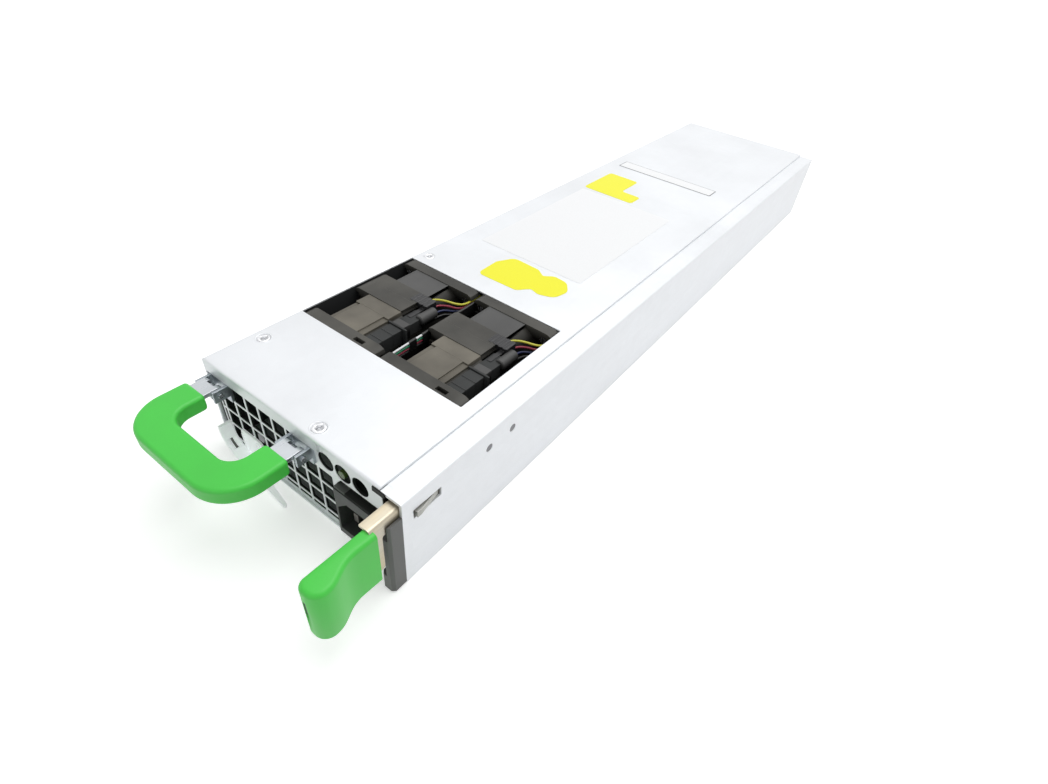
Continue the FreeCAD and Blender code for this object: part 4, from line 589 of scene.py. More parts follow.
STEEL_THICK = 1.0
COVER_WIDE = (COVER_HIGH.x - CORNER.x) / MM + 0.38
SIDE_FOLD = 1.3
FRONT_FOLD = 0.9
FAN_LOW = span("fan_left_front_frame")[0]
FAN_HIGH = span("fan_right_rear_frame")[1]
OPENING_X = (STEEL_THICK, FAN_HIGH.x + 0.3)
OPENING_Y = (FAN_LOW.y - 0.2, FAN_HIGH.y + 0.3)
LIP_RIGHT = 59.0
LIP_DEEP = 5.3
SCREWS = ((5.4, 20.5), (5.4, 106.0), (55.6, 4.4))
SCREW_HEAD = 2.35
SCREW_HOLE = SCREW_HEAD + 0.2
FLANGE_CORNER = ((COVER_WIDE + 0.15, 89.3), (0.0, 3.1), (TALL - 1.5, TALL - 0.99))


def front_waste():
    """What the round fold along the cover's front edge leaves out."""
    outline = [(-0.5, TALL + 0.5), (-0.5, TALL - FRONT_FOLD)]
    outline += [(FRONT_FOLD * (1 - cos(turn)), TALL - FRONT_FOLD * (1 - sin(turn)))
                for turn in quarter(6)]
    outline.append((FRONT_FOLD, TALL + 0.5))
    return mesh_of(prism, outline, "X", -1.0, COVER_WIDE + 1.0)


def screw_hole(x, y):
    shank = 1.6
    profile = ((SCREW_HOLE, TALL + 0.5), (SCREW_HOLE, TALL - 0.04), (shank, TALL - 1.0), (shank, TALL - 3.0))
    return mesh_of(turned, "Z", (x, y, 0.0), profile, 36)


def cover():
    below = TALL - STEEL_THICK
    sheet = [
        (0.0, 0.0, 0), (0.0, TALL, SIDE_FOLD), (COVER_WIDE, TALL, 0), (COVER_WIDE, below, 0),
        (STEEL_THICK, below, SIDE_FOLD - 0.9), (STEEL_THICK, 0.0, 0),
    ]
    shell = as_object("cover", mesh_of(prism, arc_corners(sheet), "Y", 0.0, LONG))
    lip = mesh_of(slab, (STEEL_THICK - 0.3, LIP_RIGHT), (0.0, STEEL_THICK), (TALL - LIP_DEEP, TALL - 0.4))
    carve(shell, lip, operation="UNION")
    opening = rounded_box(OPENING_X, OPENING_Y, 0.4, steps=3)
    carve(shell, front_waste(), mesh_of(prism, opening, "Z", TALL - 2.0, TALL + 1.0),
          *(screw_hole(x, y) for x, y in SCREWS))
    soften(shell, 0.1)
    dress(shell, STEEL, "case steel", "top_cover")


def flange_corner():
    """The front corner of the side wall's flange, beside the cover."""
    dress(as_object("flange_corner", mesh_of(slab, *FLANGE_CORNER)), STEEL_SIDE, "case steel")


def screw_ring(name, x, y):
    """The shallow pressed ring round a countersunk screw."""
    steps = ((0.3, -0.2), (0.3, 0.0), (0.4, 0.05), (0.65, 0.05), (0.8, 0.0), (0.8, -0.2))
    profile = [(SCREW_HEAD + out, TALL + up) for out, up in steps]
    ring = as_object(name, mesh_of(turned, "Z", (x, y, 0.0), profile, 48))
    bore = ((SCREW_HOLE, TALL - 1.0), (SCREW_HOLE, TALL + 1.0))
    carve(ring, mesh_of(turned, "Z", (x, y, 0.0), bore, 48))
    dress(ring, STEEL, "case steel")


def cover_screws():
    """Countersunk heads with a cross recess, flush with the cover."""
    shank = 1.3
    profile = ((SCREW_HEAD - 0.15, TALL - 0.02), (SCREW_HEAD, TALL - 0.12),
               (shank, TALL - 1.2), (shank, TALL - 4.0))
    arm_long, arm_wide = 1.25, 0.28
    recess = (TALL - 0.9, TALL + 0.3)
    for index, (x, y) in enumerate(SCREWS):
        head = as_object("cover_screw_head", mesh_of(turned, "Z", (x, y, 0.0), profile, 40))
        for along, across in ((arm_long, arm_wide), (arm_wide, arm_long)):
            carve(head, mesh_of(slab, (x - along, x + along), (y - across, y + across), recess))
        dress(head, COVER_SCREW, "steel", *first_only(index, "cover_screws"))


cover()
flange_corner()
cover_screws()
for index, (x, y) in enumerate(SCREWS[:1] + SCREWS[2:]):
    screw_ring(f"screw_ring_{index}", x, y)

# Handle: moulded grip over the flat bar

GRIP_LOW, GRIP_HIGH = span("handle_grip")
GRIP_BAND = 11.0
GRIP_OUTER = 14.0
GRIP_INNER = 6.0
BAR_LOW, BAR_HIGH = span("handle_bar")
BAR_WIDE = 7.8
BAR_GAP = 0.1


def handle_grip():
    left, right = GRIP_LOW.x, GRIP_HIGH.x
    end, start = GRIP_LOW.y, GRIP_HIGH.y
    corners = [
        (left, start, 0), (left, end, GRIP_OUTER), (right, end, GRIP_OUTER), (right, start, 0),
        (right - GRIP_BAND, start, 0), (right - GRIP_BAND, end + GRIP_BAND, GRIP_INNER),
        (left + GRIP_BAND, end + GRIP_BAND, GRIP_INNER), (left + GRIP_BAND, start, 0),
    ]
    grip = as_object("grip", mesh_of(prism, arc_corners(corners, 20), "Z", GRIP_LOW.z, GRIP_HIGH.z))
    soften(grip, 1.4, 5)
    deep = (start - 3.0, start + 1.0)
    thick = (BAR_HIGH.z - 1.75, BAR_HIGH.z + 0.15)
    carve(grip, *(mesh_of(slab, (side - BAR_GAP, side + BAR_WIDE + BAR_GAP), deep, thick)
                  for side in (BAR_LOW.x, BAR_HIGH.x - BAR_WIDE)))
    dress(grip, GREEN, "green plastic", "handle_grip", body="handle")


handle_grip()

# Handle springs: wound wire between the knuckles, one end on the strap and one on the plate

HINGE = (-3.2, 32.3)
STRAP_MIDDLES = (7.9, 50.9)
COIL_RADIUS = 1.62
COIL_HALF = 1.5
COIL_WIRE = 0.3
COIL_TURNS = 4.5
STRAP_LEG = (0.0, -2.2, 0.0)
PLATE_LEG = ((0.0, 2.4, 0.0), (0.0, 2.86, -0.5), (0.0, 2.86, -2.6))


def tube(mesh, line, radius, sides=10):
    """A round wire along points whose line nowhere runs along X."""
    last = len(line) - 1
    turns = [2 * pi * side / sides for side in range(sides)]
    rings = []
    for step, point in enumerate(line):
        ahead = (line[min(step + 1, last)] - line[max(step - 1, 0)]).normalized()
        across = Vector((1, 0, 0)).cross(ahead).normalized()
        above = ahead.cross(across)
        rings.append([point + (across * cos(turn) + above * sin(turn)) * radius for turn in turns])
    loft(mesh, rings)


def handle_spring(index, x):
    steps = 26
    count = int(COIL_TURNS * steps)
    line = []
    for step in range(count + 1):
        angle = pi / 2 + 2 * pi * step / steps
        y, z = HINGE[0] + COIL_RADIUS * cos(angle), HINGE[1] + COIL_RADIUS * sin(angle)
        line.append(Vector((x - COIL_HALF + 2 * COIL_HALF * step / count, y, z)))
    line.insert(0, line[0] + Vector(STRAP_LEG))
    line += [line[-1] + Vector(leg) for leg in PLATE_LEG]
    spring = as_object(f"handle_spring_{index}", mesh_of(tube, line, COIL_WIRE), 60.0)
    dress(spring, SPRING_STEEL, "steel", *first_only(index, "handle_springs"))


for index, middle in enumerate(STRAP_MIDDLES):
    handle_spring(index, middle)

# Latch: one folded leaf, and the thumb lever on its end

LEAF_OUT = 94.2
LEAF_THICK = 0.9
LEAF_TOP = 36.9
LEAF_FLANGE = 4.3
LEAF_FOLD = (1.25, 0.4)
ROOT_LOW = 26.2
ROOT_END = 56.0
RIVET_PLACES = (39.3, 51.8)
RIVET_HEIGHT = 31.2
RIVET_HOLE = 1.6
# The leaf's lower edge as (y, z), with close steps along one stretch
LEAF_LOW_EDGE = [
    (-10.7, 22.4), (-9.31, 22.0), (-9.3, 16.6), (-8.9, 15.9), (-8.2, 15.5), (-7.3, 15.5), (-6.8, 15.9),
    (-6.61, 16.6), (-6.6, 29.9), (-6.2, 30.6), (-5.4, 30.7), (2.6, 30.7), (3.6, 30.0), (4.6, 26.7),
]
LEAF_LOW_EDGE += [(y, ROOT_LOW) for y in (5.4, 14.0, 24.0, *range(28, 41, 2), 44.0, ROOT_END)]


def latch_leaf():
    inner, flange = LEAF_OUT - LEAF_THICK, LEAF_OUT - LEAF_FLANGE
    under = LEAF_TOP - LEAF_THICK
    rings = []
    for y, low in LEAF_LOW_EDGE:
        section = [
            (flange, LEAF_TOP, 0), (LEAF_OUT, LEAF_TOP, LEAF_FOLD[0]), (LEAF_OUT, low, 0),
            (inner, low, 0), (inner, under, LEAF_FOLD[1]), (flange, under, 0),
        ]
        rings.append([(x, y, z) for x, z in arc_corners(section, 6)])
    leaf = as_object("latch_leaf", mesh_of(loft, rings), 40.0)
    soften(leaf, 0.14)
    drill = ((RIVET_HOLE, LEAF_OUT - 2.0), (RIVET_HOLE, LEAF_OUT + 1.0))
    carve(leaf, *(mesh_of(turned, "X", (0.0, y, RIVET_HEIGHT), drill, 28) for y in RIVET_PLACES))
    leaf.data.materials.clear()
    leaf.data.materials.append(YELLOW_ZINC)
    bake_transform(leaf)
    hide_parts("latch_spring", "latch_root")


LEVER_LOW, LEVER_HIGH = span("latch_grip")
LEVER_NECK = 95.5
LEVER_SLOT_X = (LEVER_LOW.x + 1.9, LEVER_LOW.x + 3.7)
LEVER_SLOT_Z = (23.0, 30.6)


def drawn_in(outline, distance, flat):
    """The outline moved inwards, but not along Y where it lies past the flat end."""
    count = len(outline)
    following = outline[1:] + outline[:1]
    area = sum(here.x * after.y - after.x * here.y for here, after in zip(outline, following))
    side = 1.0 if area > 0 else -1.0
    moved = []
    for index, here in enumerate(outline):
        along = (outline[(index + 1) % count] - outline[index - 1]).normalized()
        inward = Vector((-along.y, along.x)) * side * distance
        if here.y > flat:
            inward.y = 0.0
        moved.append(here + inward)
    return moved


def latch_lever():
    left, bulge = LEVER_LOW.x, LEVER_HIGH.x
    end, back = LEVER_LOW.y, LEVER_HIGH.y
    outline = arc_corners([
        (left + 0.35, back, 0), (left, end, 3.0), (bulge, end, 4.2), (bulge - 0.1, end + 6.6, 9.0),
        (LEVER_NECK, end + 13.5, 12.0), (LEVER_NECK + 0.35, back, 0),
    ], 12)
    rim = 1.6
    turns = quarter(7)
    levels = [(rim * (1 - sin(turn)), LEVER_LOW.z + rim * (1 - cos(turn))) for turn in turns]
    levels += [(rim * (1 - cos(turn)), LEVER_HIGH.z - rim * (1 - sin(turn))) for turn in turns]
    rings = [[(x, y, z) for x, y in drawn_in(outline, inset, back - 0.8)] for inset, z in levels]
    lever = as_object("lever", mesh_of(loft, rings), 50.0)
    carve(lever, mesh_of(slab, LEVER_SLOT_X, (end - 1.0, end + 3.2), LEVER_SLOT_Z))
    dress(lever, GREEN, "green plastic", "latch_grip", body="latch")
    # A dark sheet inside the slot: painted shade
    shade_sheet = mesh_of(slab, LEVER_SLOT_X, (end + 0.45, end + 3.0), LEVER_SLOT_Z)
    dress(as_object("lever_slot", shade_sheet), GREEN_SHADE, "green plastic", body="latch")


latch_leaf()
latch_lever()

# Cord clip: open nylon loop, back pad, post and tongue

CLIP_MIDDLE = 18.1
CLIP_HEIGHT = 13.6
CLIP_RADIUS = 11.8
CLIP_THICK = 1.2
CLIP_DEEP = 5.0
CLIP_LOW = CLIP_HEIGHT - CLIP_RADIUS
CLIP_MOUTH = 1.3
CLIP_SLOT_Y = (-3.1, -2.1)
CLIP_POST = (15.8, 0.0, 7.65)
TONGUE_BELLY = 32.9
TONGUE_CATCH = 43.2


def clip_arc(outer, inner, start, sweep, steps):
    """The outline of a stretch of ring about the middle of the clip."""
    outline = []
    for radius, turn in ((outer, range(steps + 1)), (inner, range(steps, -1, -1))):
        for step in turn:
            angle = start + sweep * step / steps
            outline.append((CLIP_MIDDLE + radius * cos(angle), CLIP_HEIGHT + radius * sin(angle)))
    return outline


def clip_loop():
    """The loop with the slot near its foot, and a dark sheet in the slot as painted shade."""
    rise = asin(CLIP_MOUTH / CLIP_RADIUS)
    outline = clip_arc(CLIP_RADIUS, CLIP_RADIUS - CLIP_THICK, pi - rise, pi + 2 * rise, 44)
    loop = as_object("clip_loop", mesh_of(prism, outline, "Y", -CLIP_DEEP, 0.0))
    soften(loop, 0.35, 3)
    carve(loop, mesh_of(slab, (CLIP_MIDDLE - 9.8, CLIP_MIDDLE - 6.6), CLIP_SLOT_Y, (1.0, 8.6)))
    dress(loop, NYLON, "nylon", "cord_clip")
    # A dark sheet inside the slot: painted shade
    shade_sheet = clip_arc(CLIP_RADIUS - 0.2, CLIP_RADIUS - 0.8, radians(208.0), radians(28.0), 6)
    dress(as_object("clip_slot", mesh_of(prism, shade_sheet, "Y", *CLIP_SLOT_Y)), NYLON_SHADE, "nylon")


def clip_back():
    """The pad against the grid with two ribs, and the headed post that snaps into it."""
    mesh = bmesh.new()
    x, z = (CLIP_MIDDLE - 6.0, CLIP_MIDDLE + 6.0), (CLIP_LOW + 0.4, CLIP_HEIGHT + 0.1)
    prism(mesh, rounded_box(x, z, 0.5, 1.5, 5), "Y", 0.0, 1.0)
    turned(mesh, "Y", CLIP_POST, ((2.6, 0.5), (2.6, 4.0)), 30)
    turned(mesh, "Y", CLIP_POST, ((3.5, 2.1), (1.7, 5.0)), 30)
    for x in (CLIP_MIDDLE - 4.2, CLIP_MIDDLE + 4.2):
        slab(mesh, (x - 0.5, x + 0.5), (-0.7, 0.2), (CLIP_LOW + 1.2, CLIP_HEIGHT - 0.6))
    soft_piece("clip_back", mesh, 0.18, NYLON, "nylon")


def clip_tongue():
    corners = [
        (CLIP_MIDDLE, -CLIP_DEEP, 0), (TONGUE_BELLY, -CLIP_DEEP - CLIP_THICK, 4.0),
        (TONGUE_CATCH, -7.3, 0.5), (TONGUE_CATCH + 0.8, -6.6, 0.35), (TONGUE_CATCH, -5.9, 0.5),
        (TONGUE_BELLY, -CLIP_DEEP + CLIP_THICK, 4.0), (CLIP_MIDDLE, -0.8, 0),
    ]
    mesh = mesh_of(prism, arc_corners(corners, 6), "Z", CLIP_LOW - 0.8, CLIP_LOW + 0.4)
    soft_piece("clip_tongue", mesh, 0.3, NYLON, "nylon", segments=3)


clip_loop()
clip_back()
clip_tongue()

# Fan housings: square flange, round barrel under flat plates, joint band, struts and hub

FAN_HALF = 19.8
FAN_CHAMFER = 1.5
FAN_MID_Z = 20.0
FAN_BORE = 18.4
FAN_HUB = 10.0
FAN_SCREW = 16.0
FAN_SCREW_HOLE = 1.5
BARREL = 19.2
SEAT = 18.9
FLANGE = 5.2
BAND = 7.5
STRUT_DEEP = 2.0
STRUT_HALF = 1.2
PLATE = (8.5, 26.7)
PLATE_STEP = 13.6
PANEL = (27.9, 34.4)
RIB_Z = (28.0, 34.6)
NOTCH_WIDE = 1.8
NOTCH = (32.6, 37.6)
FAN_TOP = FAN_MID_Z + FAN_HALF
PLATE_TOP = FAN_TOP - 0.3


def fan_angles(*more):
    """Angles round a fan: even steps with the square's corners among them, and a close pair at any more."""
    count = 96
    angles = [pi / 4 + 2 * pi * step / count for step in range(count)]
    return sorted(angles + [angle + nudge for angle in more for nudge in (-0.001, 0.001)])


def square(half):
    """Distance to a square with cut-off corners, by angle."""
    def reach(angle):
        c, s = abs(cos(angle)), abs(sin(angle))
        return min(half / max(c, s), (2 * half - FAN_CHAMFER) / (c + s))
    return reach


def circle(radius):
    return lambda angle: radius


def banded(pocket_left, pocket_low):
    """The joint band's outline: square, but down to the barrel in the pocket for the leads."""
    flat = square(FAN_HALF)

    def reach(angle):
        x, z = flat(angle) * cos(angle), flat(angle) * sin(angle)
        return BARREL if x > pocket_left and z > pocket_low else flat(angle)
    return reach


def housing_cuts(left, y, flange, front):
    """Notches for the leads, the dent in a front flange, and the screw holes."""
    right, mid = left + 2 * FAN_HALF, left + FAN_HALF
    cuts = [mesh_of(slab, x, (y[0] - 1.0, y[1] + 1.0), NOTCH)
            for x in ((left - 1.0, left + NOTCH_WIDE), (right - NOTCH_WIDE, right + 1.0))]
    if front:
        cuts.append(mesh_of(slab, (left + 27.0, left + 32.0), (y[0] + 0.9, y[0] + 2.9),
                            (FAN_TOP - 2.0, FAN_TOP + 1.0)))
    drill = ((FAN_SCREW_HOLE, flange[0] - 1.0), (FAN_SCREW_HOLE, flange[1] + 1.0))
    cuts += [mesh_of(turned, "Y", (x, 0.0, z), drill, 20) for x in (mid - FAN_SCREW, mid + FAN_SCREW)
             for z in (FAN_MID_Z - FAN_SCREW, FAN_MID_Z + FAN_SCREW)]
    return cuts


def fan_housing(side, half):
    node = f"fan_{side}_{half}_frame"
    low, high = span(node)
    left, near, far = low.x, low.y, high.y
    mid = left + FAN_HALF
    front = half == "front"
    if front:
        flange, band, barrel = (near, near + FLANGE), (far - BAND, far), (near + FLANGE - 0.2, far)
        strut = (far - STRUT_DEEP, far)
    else:
        flange, band, barrel = (far - FLANGE, far), (near, near + BAND), (near, far - FLANGE + 0.2)
        strut = (near, near + STRUT_DEEP)
    centre, bore = (mid, FAN_MID_Z), circle(FAN_BORE)
    pocket_left, pocket_low = PLATE[1] - FAN_HALF, NOTCH[0] - FAN_MID_Z
    pocket_ends = (atan2(pocket_low, FAN_HALF), atan2(FAN_HALF, pocket_left))
    mesh = bmesh.new()
    hollow_ring(mesh, centre, square(FAN_HALF), bore, flange, fan_angles())
    hollow_ring(mesh, centre, circle(BARREL), bore, barrel, fan_angles())
    hollow_ring(mesh, centre, banded(pocket_left, pocket_low), bore, band, fan_angles(*pocket_ends))
    body = as_object(f"fan_{side}_{half}_body", mesh)
    carve(body, *housing_cuts(left, (near, far), flange, front))
    soften(body, 0.25, angle=60.0)
    dress(body, FAN_FRAME, "grey plastic", node)
    trim = bmesh.new()
    if front:
        front_plates(trim, left, flange[1], band[0])
    else:
        rear_plates(trim, left, band[1], flange[0])
    struts(trim, mid, strut)
    soft_piece(f"fan_{side}_{half}_trim", trim, 0.16, FAN_FRONT if front else FAN_REAR, "grey plastic")


def seat(mesh, left, x, y, top):
    """A flat plate from x[0] to x[1] across a fan, resting on its barrel."""
    mid = left + FAN_HALF
    outline = [(left + x[0], top)]
    for step in range(9):
        place = left + x[0] + (x[1] - x[0]) * step / 8
        outline.append((place, FAN_MID_Z + sqrt(SEAT ** 2 - (place - mid) ** 2)))
    outline.append((left + x[1], top))
    prism(mesh, outline, "Y", *y)


def side_rib(mesh, left, y):
    """A rib between the housing's left side and its barrel."""
    mid = left + FAN_HALF
    low, high = RIB_Z
    outline = [(left + NOTCH_WIDE, low), (left + NOTCH_WIDE, high)]
    for step in range(7):
        height = high + (low - high) * step / 6
        outline.append((mid - sqrt(SEAT ** 2 - (height - FAN_MID_Z) ** 2), height))
    prism(mesh, outline, "Y", y, y + 1.0)


def front_plates(mesh, left, near, far):
    """The plate over the front barrel: narrow with low shoulders, then wide before the band."""
    narrow = (near - 0.1, near + PLATE_STEP)
    seat(mesh, left, (11.0, 24.2), narrow, PLATE_TOP)
    seat(mesh, left, (PLATE[0], 11.2), narrow, PLATE_TOP - 0.7)
    seat(mesh, left, (24.0, PLATE[1]), narrow, PLATE_TOP - 0.7)
    seat(mesh, left, PLATE, (near + PLATE_STEP, far + 0.1), PLATE_TOP)
    for y in (near + 0.2, far - 1.2):
        side_rib(mesh, left, y)


def rear_plates(mesh, left, near, far):
    """The plate over the rear barrel, with a raised line along each side."""
    seat(mesh, left, PLATE, (near - 0.1, far + 0.1), PLATE_TOP)
    for x in (PLATE[0], PLATE[1] - 0.6):
        seat(mesh, left, (x, x + 0.6), (near, far), PLATE_TOP + 0.12)
    for y in (near + 0.4, far - 1.4):
        side_rib(mesh, left, y)


def struts(mesh, mid, y):
    """The hub plate and four flat struts from it to the bore."""
    turned(mesh, "Y", (mid, 0.0, FAN_MID_Z), ((FAN_HUB, y[0]), (FAN_HUB, y[1])), 48)
    middle = Vector((mid, FAN_MID_Z))
    for turn in range(4):
        angle = pi / 2 * turn
        along = Vector((cos(angle), sin(angle)))
        across = Vector((-along.y, along.x)) * STRUT_HALF
        start, end = middle + along * (FAN_HUB - 0.5), middle + along * (FAN_BORE + 0.4)
        prism(mesh, [start - across, end - across, end + across, start + across], "Y", *y)


def fan_panels(side, left, near, split):
    """Dark plates beside the front plate, with two thin lines and a wide one."""
    mesh = bmesh.new()
    seat(mesh, left, PANEL, (near + 0.1, near + 13.2), FAN_TOP - 1.5)
    seat(mesh, left, (PANEL[0], 33.9), (near + 17.6, split - 1.0), FAN_TOP - 1.9)
    seat(mesh, left, (26.9, 36.4), (near + 13.4, near + 14.1), FAN_TOP - 0.9)
    for y in (near + 3.2, near + 8.4):
        seat(mesh, left, PANEL, (y, y + 0.5), FAN_TOP - 1.25)
    nodes = ("fan_joint_clips",) if side == "left" else ()
    soft_piece(f"fan_{side}_panels", mesh, 0.16, FAN_DARK, "black plastic", *nodes)


def fan_clip(side, left, split):
    """The ribbed clip that snaps the rear housing to the front one."""
    mesh = bmesh.new()
    slab(mesh, (left + 22.5, left + 31.8), (split + 1.5, split + 7.2), (FAN_TOP - 3.6, FAN_TOP + 0.06))
    for index in range(4):
        x = left + 23.2 + index * 2.3
        slab(mesh, (x, x + 1.2), (split + 1.1, split + 7.4), (FAN_TOP - 0.2, FAN_TOP + 0.16))
    slab(mesh, (left + 28.6, left + 30.6), (split - 6.4, split + 2.0), (FAN_TOP - 3.4, FAN_TOP - 1.6))
    soft_piece(f"fan_{side}_clip", mesh, 0.14, BLADE_PLASTIC, "black plastic")


def fan_peg(side, left, near, split):
    """The round peg across the joint, its foot and the small plate before it."""
    mesh = bmesh.new()
    seat(mesh, left, (28.4, PANEL[1]), (near + 14.2, near + 17.6), FAN_TOP - 1.0)
    profile = ((1.9, split - 4.7), (2.3, split - 4.3), (2.3, split + 4.0), (1.9, split + 4.4))
    turned(mesh, "Y", (left + 33.3, 0.0, 36.8), profile, 28)
    slab(mesh, (left + 31.6, left + 34.6), (split - 3.6, split - 1.8), (31.0, 36.0))
    soft_piece(f"fan_{side}_peg", mesh, 0.14, FAN_REAR, "black plastic")


for side in FAN_SIDES:
    fan_housing(side, "front")
    fan_housing(side, "rear")
    low, high = span(f"fan_{side}_front_frame")
    fan_panels(side, low.x, low.y + FLANGE, high.y)
    fan_clip(side, low.x, high.y)
    fan_peg(side, low.x, low.y + FLANGE, high.y)

# Wiring that shows in the opening

FAN_END = FAN_HIGH.y
HEADER_PINS = (104.0, 106.0, 108.0, 110.0)
HEADER_TOP = 10.6
WIRE_TIERS = (33.2, 34.4, 35.6, 36.8)
LEAD_COLOURS = ("black", "blue", "red", "yellow")
LEAD_WAYS = {
    "yellow": ((27.9, 78.6, 37.4), (28.0, 80.5, 38.3), (28.6, 83.0, 38.5), (31.9, 85.6, 38.4),
               (37.0, 87.6, 37.8), (38.9, 90.5, 37.2)),
    "red": ((30.6, 77.6, 36.2), (30.7, 80.4, 36.6), (31.0, 83.2, 36.6), (34.0, 85.7, 36.6),
            (37.6, 87.2, 36.2), (38.8, 90.0, 35.8)),
    "blue": ((32.0, 77.6, 34.9), (32.2, 81.0, 35.0), (33.2, 84.4, 34.8), (36.6, 86.6, 34.6),
             (38.6, 90.0, 34.5)),
    "black": ((33.6, 77.6, 33.9), (33.8, 81.0, 33.9), (34.6, 84.0, 33.6), (37.2, 86.4, 33.2),
              (38.7, 90.0, 33.2)),
}
SIGNAL_COLOURS = ("black", "red", "green", "white")
SIGNAL_X = span("fan_right_front_frame")[0].x - 0.2
SHEATH_X = (SIGNAL_X - 0.62, SIGNAL_X + 0.62)
SHEATH_Z = (32.6, 37.42)


def fan_leads(side):
    left = span(f"fan_{side}_front_frame")[0].x
    gate = left + 2 * FAN_HALF - 0.8
    for index, (colour, tier, pin) in enumerate(zip(LEAD_COLOURS, WIRE_TIERS, HEADER_PINS)):
        points = [(left + x, y, z) for x, y, z in LEAD_WAYS[colour]]
        points += [(gate, FAN_END - 3.4, tier), (gate, FAN_END + 2.6, tier), (gate, pin, tier - 6.0),
                   (gate, pin, HEADER_TOP)]
        wire(f"fan_{side}_lead_{index}", points, colour, *first_only(index, f"fan_{side}_leads"))


def signal_wires():
    for index, (colour, tier, pin) in enumerate(zip(SIGNAL_COLOURS, WIRE_TIERS, HEADER_PINS)):
        start = SIGNAL_X + 23.0 + index * 2.0
        points = (
            (start, 6.2, tier - 1.0), (start, 12.0, tier - 1.0), (SIGNAL_X + 4.0, 24.0, tier - 0.4),
            (SIGNAL_X, 36.0, tier), (SIGNAL_X, FAN_END + 2.6, tier), (SIGNAL_X, pin, tier - 6.0),
            (SIGNAL_X, pin, HEADER_TOP),
        )
        wire(f"signal_wire_{index}", points, colour, *first_only(index, "signal_wires"))


def signal_sheath():
    """Black sleeves round the signal wires between the fans."""
    mesh = bmesh.new()
    for y in ((56.4, 60.2), (63.5, FAN_END + 1.6)):
        prism(mesh, rounded_box(SHEATH_X, SHEATH_Z, 0.3, 0.5, 4), "Y", *y)
    dress(as_object("signal_sheath", mesh, 50.0), WIRE["black"], "wire")


for side in FAN_SIDES:
    fan_leads(side)
signal_wires()
signal_sheath()

# Stickers: blank foils on the cover

FOIL = 0.12
LABEL_MAIN = ((12.0, 68.0), (135.0, 226.0))
STRIP_BORDER = ((8.0, 69.9), (275.0, 285.0))
STRIP = ((8.5, 69.4), (275.5, 284.5))
YELLOW_FRONT = (
    (30.2, 110.2, 3.0), (51.0, 110.8, 3.0), (53.6, 114.5, 1.5), (55.2, 116.2, 1.2), (59.4, 114.8, 4.0),
    (66.4, 117.5, 5.0), (68.0, 125.5, 5.0), (63.5, 131.6, 4.5), (56.5, 132.2, 3.0), (52.4, 128.8, 1.2),
    (48.0, 131.8, 2.5), (34.0, 132.4, 4.0), (29.8, 124.0, 4.0),
)
YELLOW_REAR = (
    (11.0, 229.0, 2.0), (42.0, 229.0, 2.0), (42.0, 240.0, 2.0), (30.0, 240.0, 2.0), (30.0, 259.5, 2.0),
    (11.0, 259.5, 2.0),
)


def foil(name, outline, material, lift=0.0):
    label = as_object(name, mesh_of(prism, outline, "Z", TALL - 0.02, TALL + FOIL + lift))
    soften(label, 0.05, 1, 60.0)
    dress(label, material, "film")


foil("label_main", rounded_box(*LABEL_MAIN, 1.2), LABEL)
foil("label_strip_border", rounded_box(*STRIP_BORDER, 0.8), LABEL_EDGE)
foil("label_strip", rounded_box(*STRIP, 0.5), LABEL, 0.05)
foil("label_yellow_front", arc_corners(YELLOW_FRONT, 6), YELLOW_LABEL)
foil("label_yellow_rear", arc_corners(YELLOW_REAR, 6), YELLOW_LABEL)

# Stage, light and camera

FLOOR_HALF = 4.0
FLOOR_Z = -0.0002
ROOM_LIGHT = 0.42
FLOOR_GLOW = (0.44, 0.9)
GLOW_REACH = (350.0, 900.0)
CAMERA_TURNS = (32.24, 41.23, 6.79)
CAMERA_PLACE = (0.12637, -0.26835, 0.17373)
CAMERA_LENS = 20.29


def in_view(tree):
    """1 for what is looked at, mirrored or seen through something; 0 for what only gives light."""
    path = tree.nodes.new("ShaderNodeLightPath")
    seen = path.outputs["Is Camera Ray"]
    for kind in ("Is Glossy Ray", "Is Transmission Ray"):
        larger = tree.nodes.new("ShaderNodeMath")
        larger.operation = "MAXIMUM"
        tree.links.new(seen, larger.inputs[0])
        tree.links.new(path.outputs[kind], larger.inputs[1])
        seen = larger.outputs[0]
    return seen


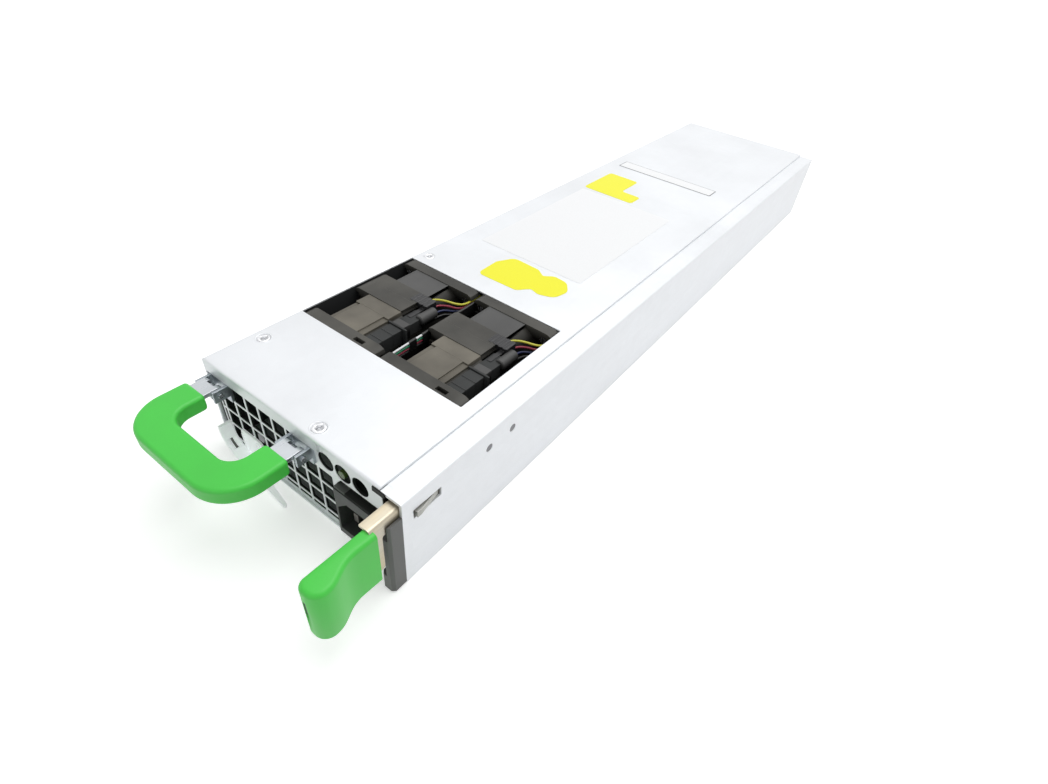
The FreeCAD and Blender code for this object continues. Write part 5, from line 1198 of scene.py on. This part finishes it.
def stage():
    """A paper floor that looks brighter than it lights, and more so farther away."""
    mesh = bmesh.new()
    corners = ((-1, -1), (1, -1), (1, 1), (-1, 1))
    mesh.faces.new([mesh.verts.new((x * FLOOR_HALF, y * FLOOR_HALF, FLOOR_Z)) for x, y in corners])
    data = bpy.data.meshes.new("floor")
    mesh.to_mesh(data)
    mesh.free()
    floor = new_object("floor", data)
    shader = Shader("floor paper")
    shader.set(Base_Color=(0.82, 0.82, 0.82, 1.0), Roughness=0.9)
    away = shader.vector_math("DISTANCE", {0: shader.place(), 1: (WIDE / 2, LONG / 2, 0.0)}, "Value")
    strength = shader.spread(away, *FLOOR_GLOW, *GLOW_REACH)
    glow = shader.add("ShaderNodeEmission", {"Color": (1.0, 1.0, 1.0, 1.0), "Strength": strength})
    paper = shader.surface.outputs[0]
    bright = shader.add("ShaderNodeAddShader", {0: paper, 1: glow.outputs[0]}).outputs[0]
    choice = shader.add("ShaderNodeMixShader", {0: in_view(shader.tree), 1: paper, 2: bright})
    shader.join(choice.outputs[0], shader.tree.nodes["Material Output"].inputs["Surface"])
    data.materials.append(shader.material)


def world():
    """A white room that looks brighter than it lights."""
    room = bpy.data.worlds.new("studio")
    bpy.context.scene.world = room
    room.use_nodes = True
    tree = room.node_tree
    level = tree.nodes.new("ShaderNodeMapRange")
    level.inputs["To Min"].default_value = ROOM_LIGHT
    level.inputs["To Max"].default_value = 1.0
    tree.links.new(in_view(tree), level.inputs["Value"])
    background = tree.nodes["Background"]
    background.inputs["Color"].default_value = (1.0, 1.0, 1.0, 1.0)
    tree.links.new(level.outputs["Result"], background.inputs["Strength"])


def lamp(name, place, aim, size, power, colour=(1.0, 1.0, 1.0)):
    data = bpy.data.lights.new(name, "AREA")
    data.shape = "DISK"
    data.size = size
    data.energy = power
    data.color = colour
    item = new_object(name, data)
    item.location = place
    item.rotation_euler = (Vector(aim) - Vector(place)).to_track_quat("-Z", "Y").to_euler()


def camera():
    """The camera of the photograph, turned by azimuth, elevation and roll."""
    azimuth, elevation, roll = (radians(value) for value in CAMERA_TURNS)
    data = bpy.data.cameras.new("camera")
    data.sensor_width = 36.0
    data.lens = CAMERA_LENS
    item = new_object("camera", data)
    item.matrix_world = (
        Matrix.Translation(CAMERA_PLACE) @ Matrix.Rotation(azimuth, 4, "Z")
        @ Matrix.Rotation(pi / 2 - elevation, 4, "X") @ Matrix.Rotation(roll, 4, "Z")
    )
    bpy.context.scene.camera = item


stage()
world()
lamp("key", place=(0.1, 0.2, 1.0), aim=(0.0, 0.0, 0.0), size=1.1, power=7.8)
lamp("fill", place=(0.1, -1.0, 0.5), aim=(0.0, -0.1, 0.0), size=0.6, power=0.5, colour=(0.94, 0.97, 1.0))
camera()
bpy.context.scene.view_settings.view_transform = "Standard"
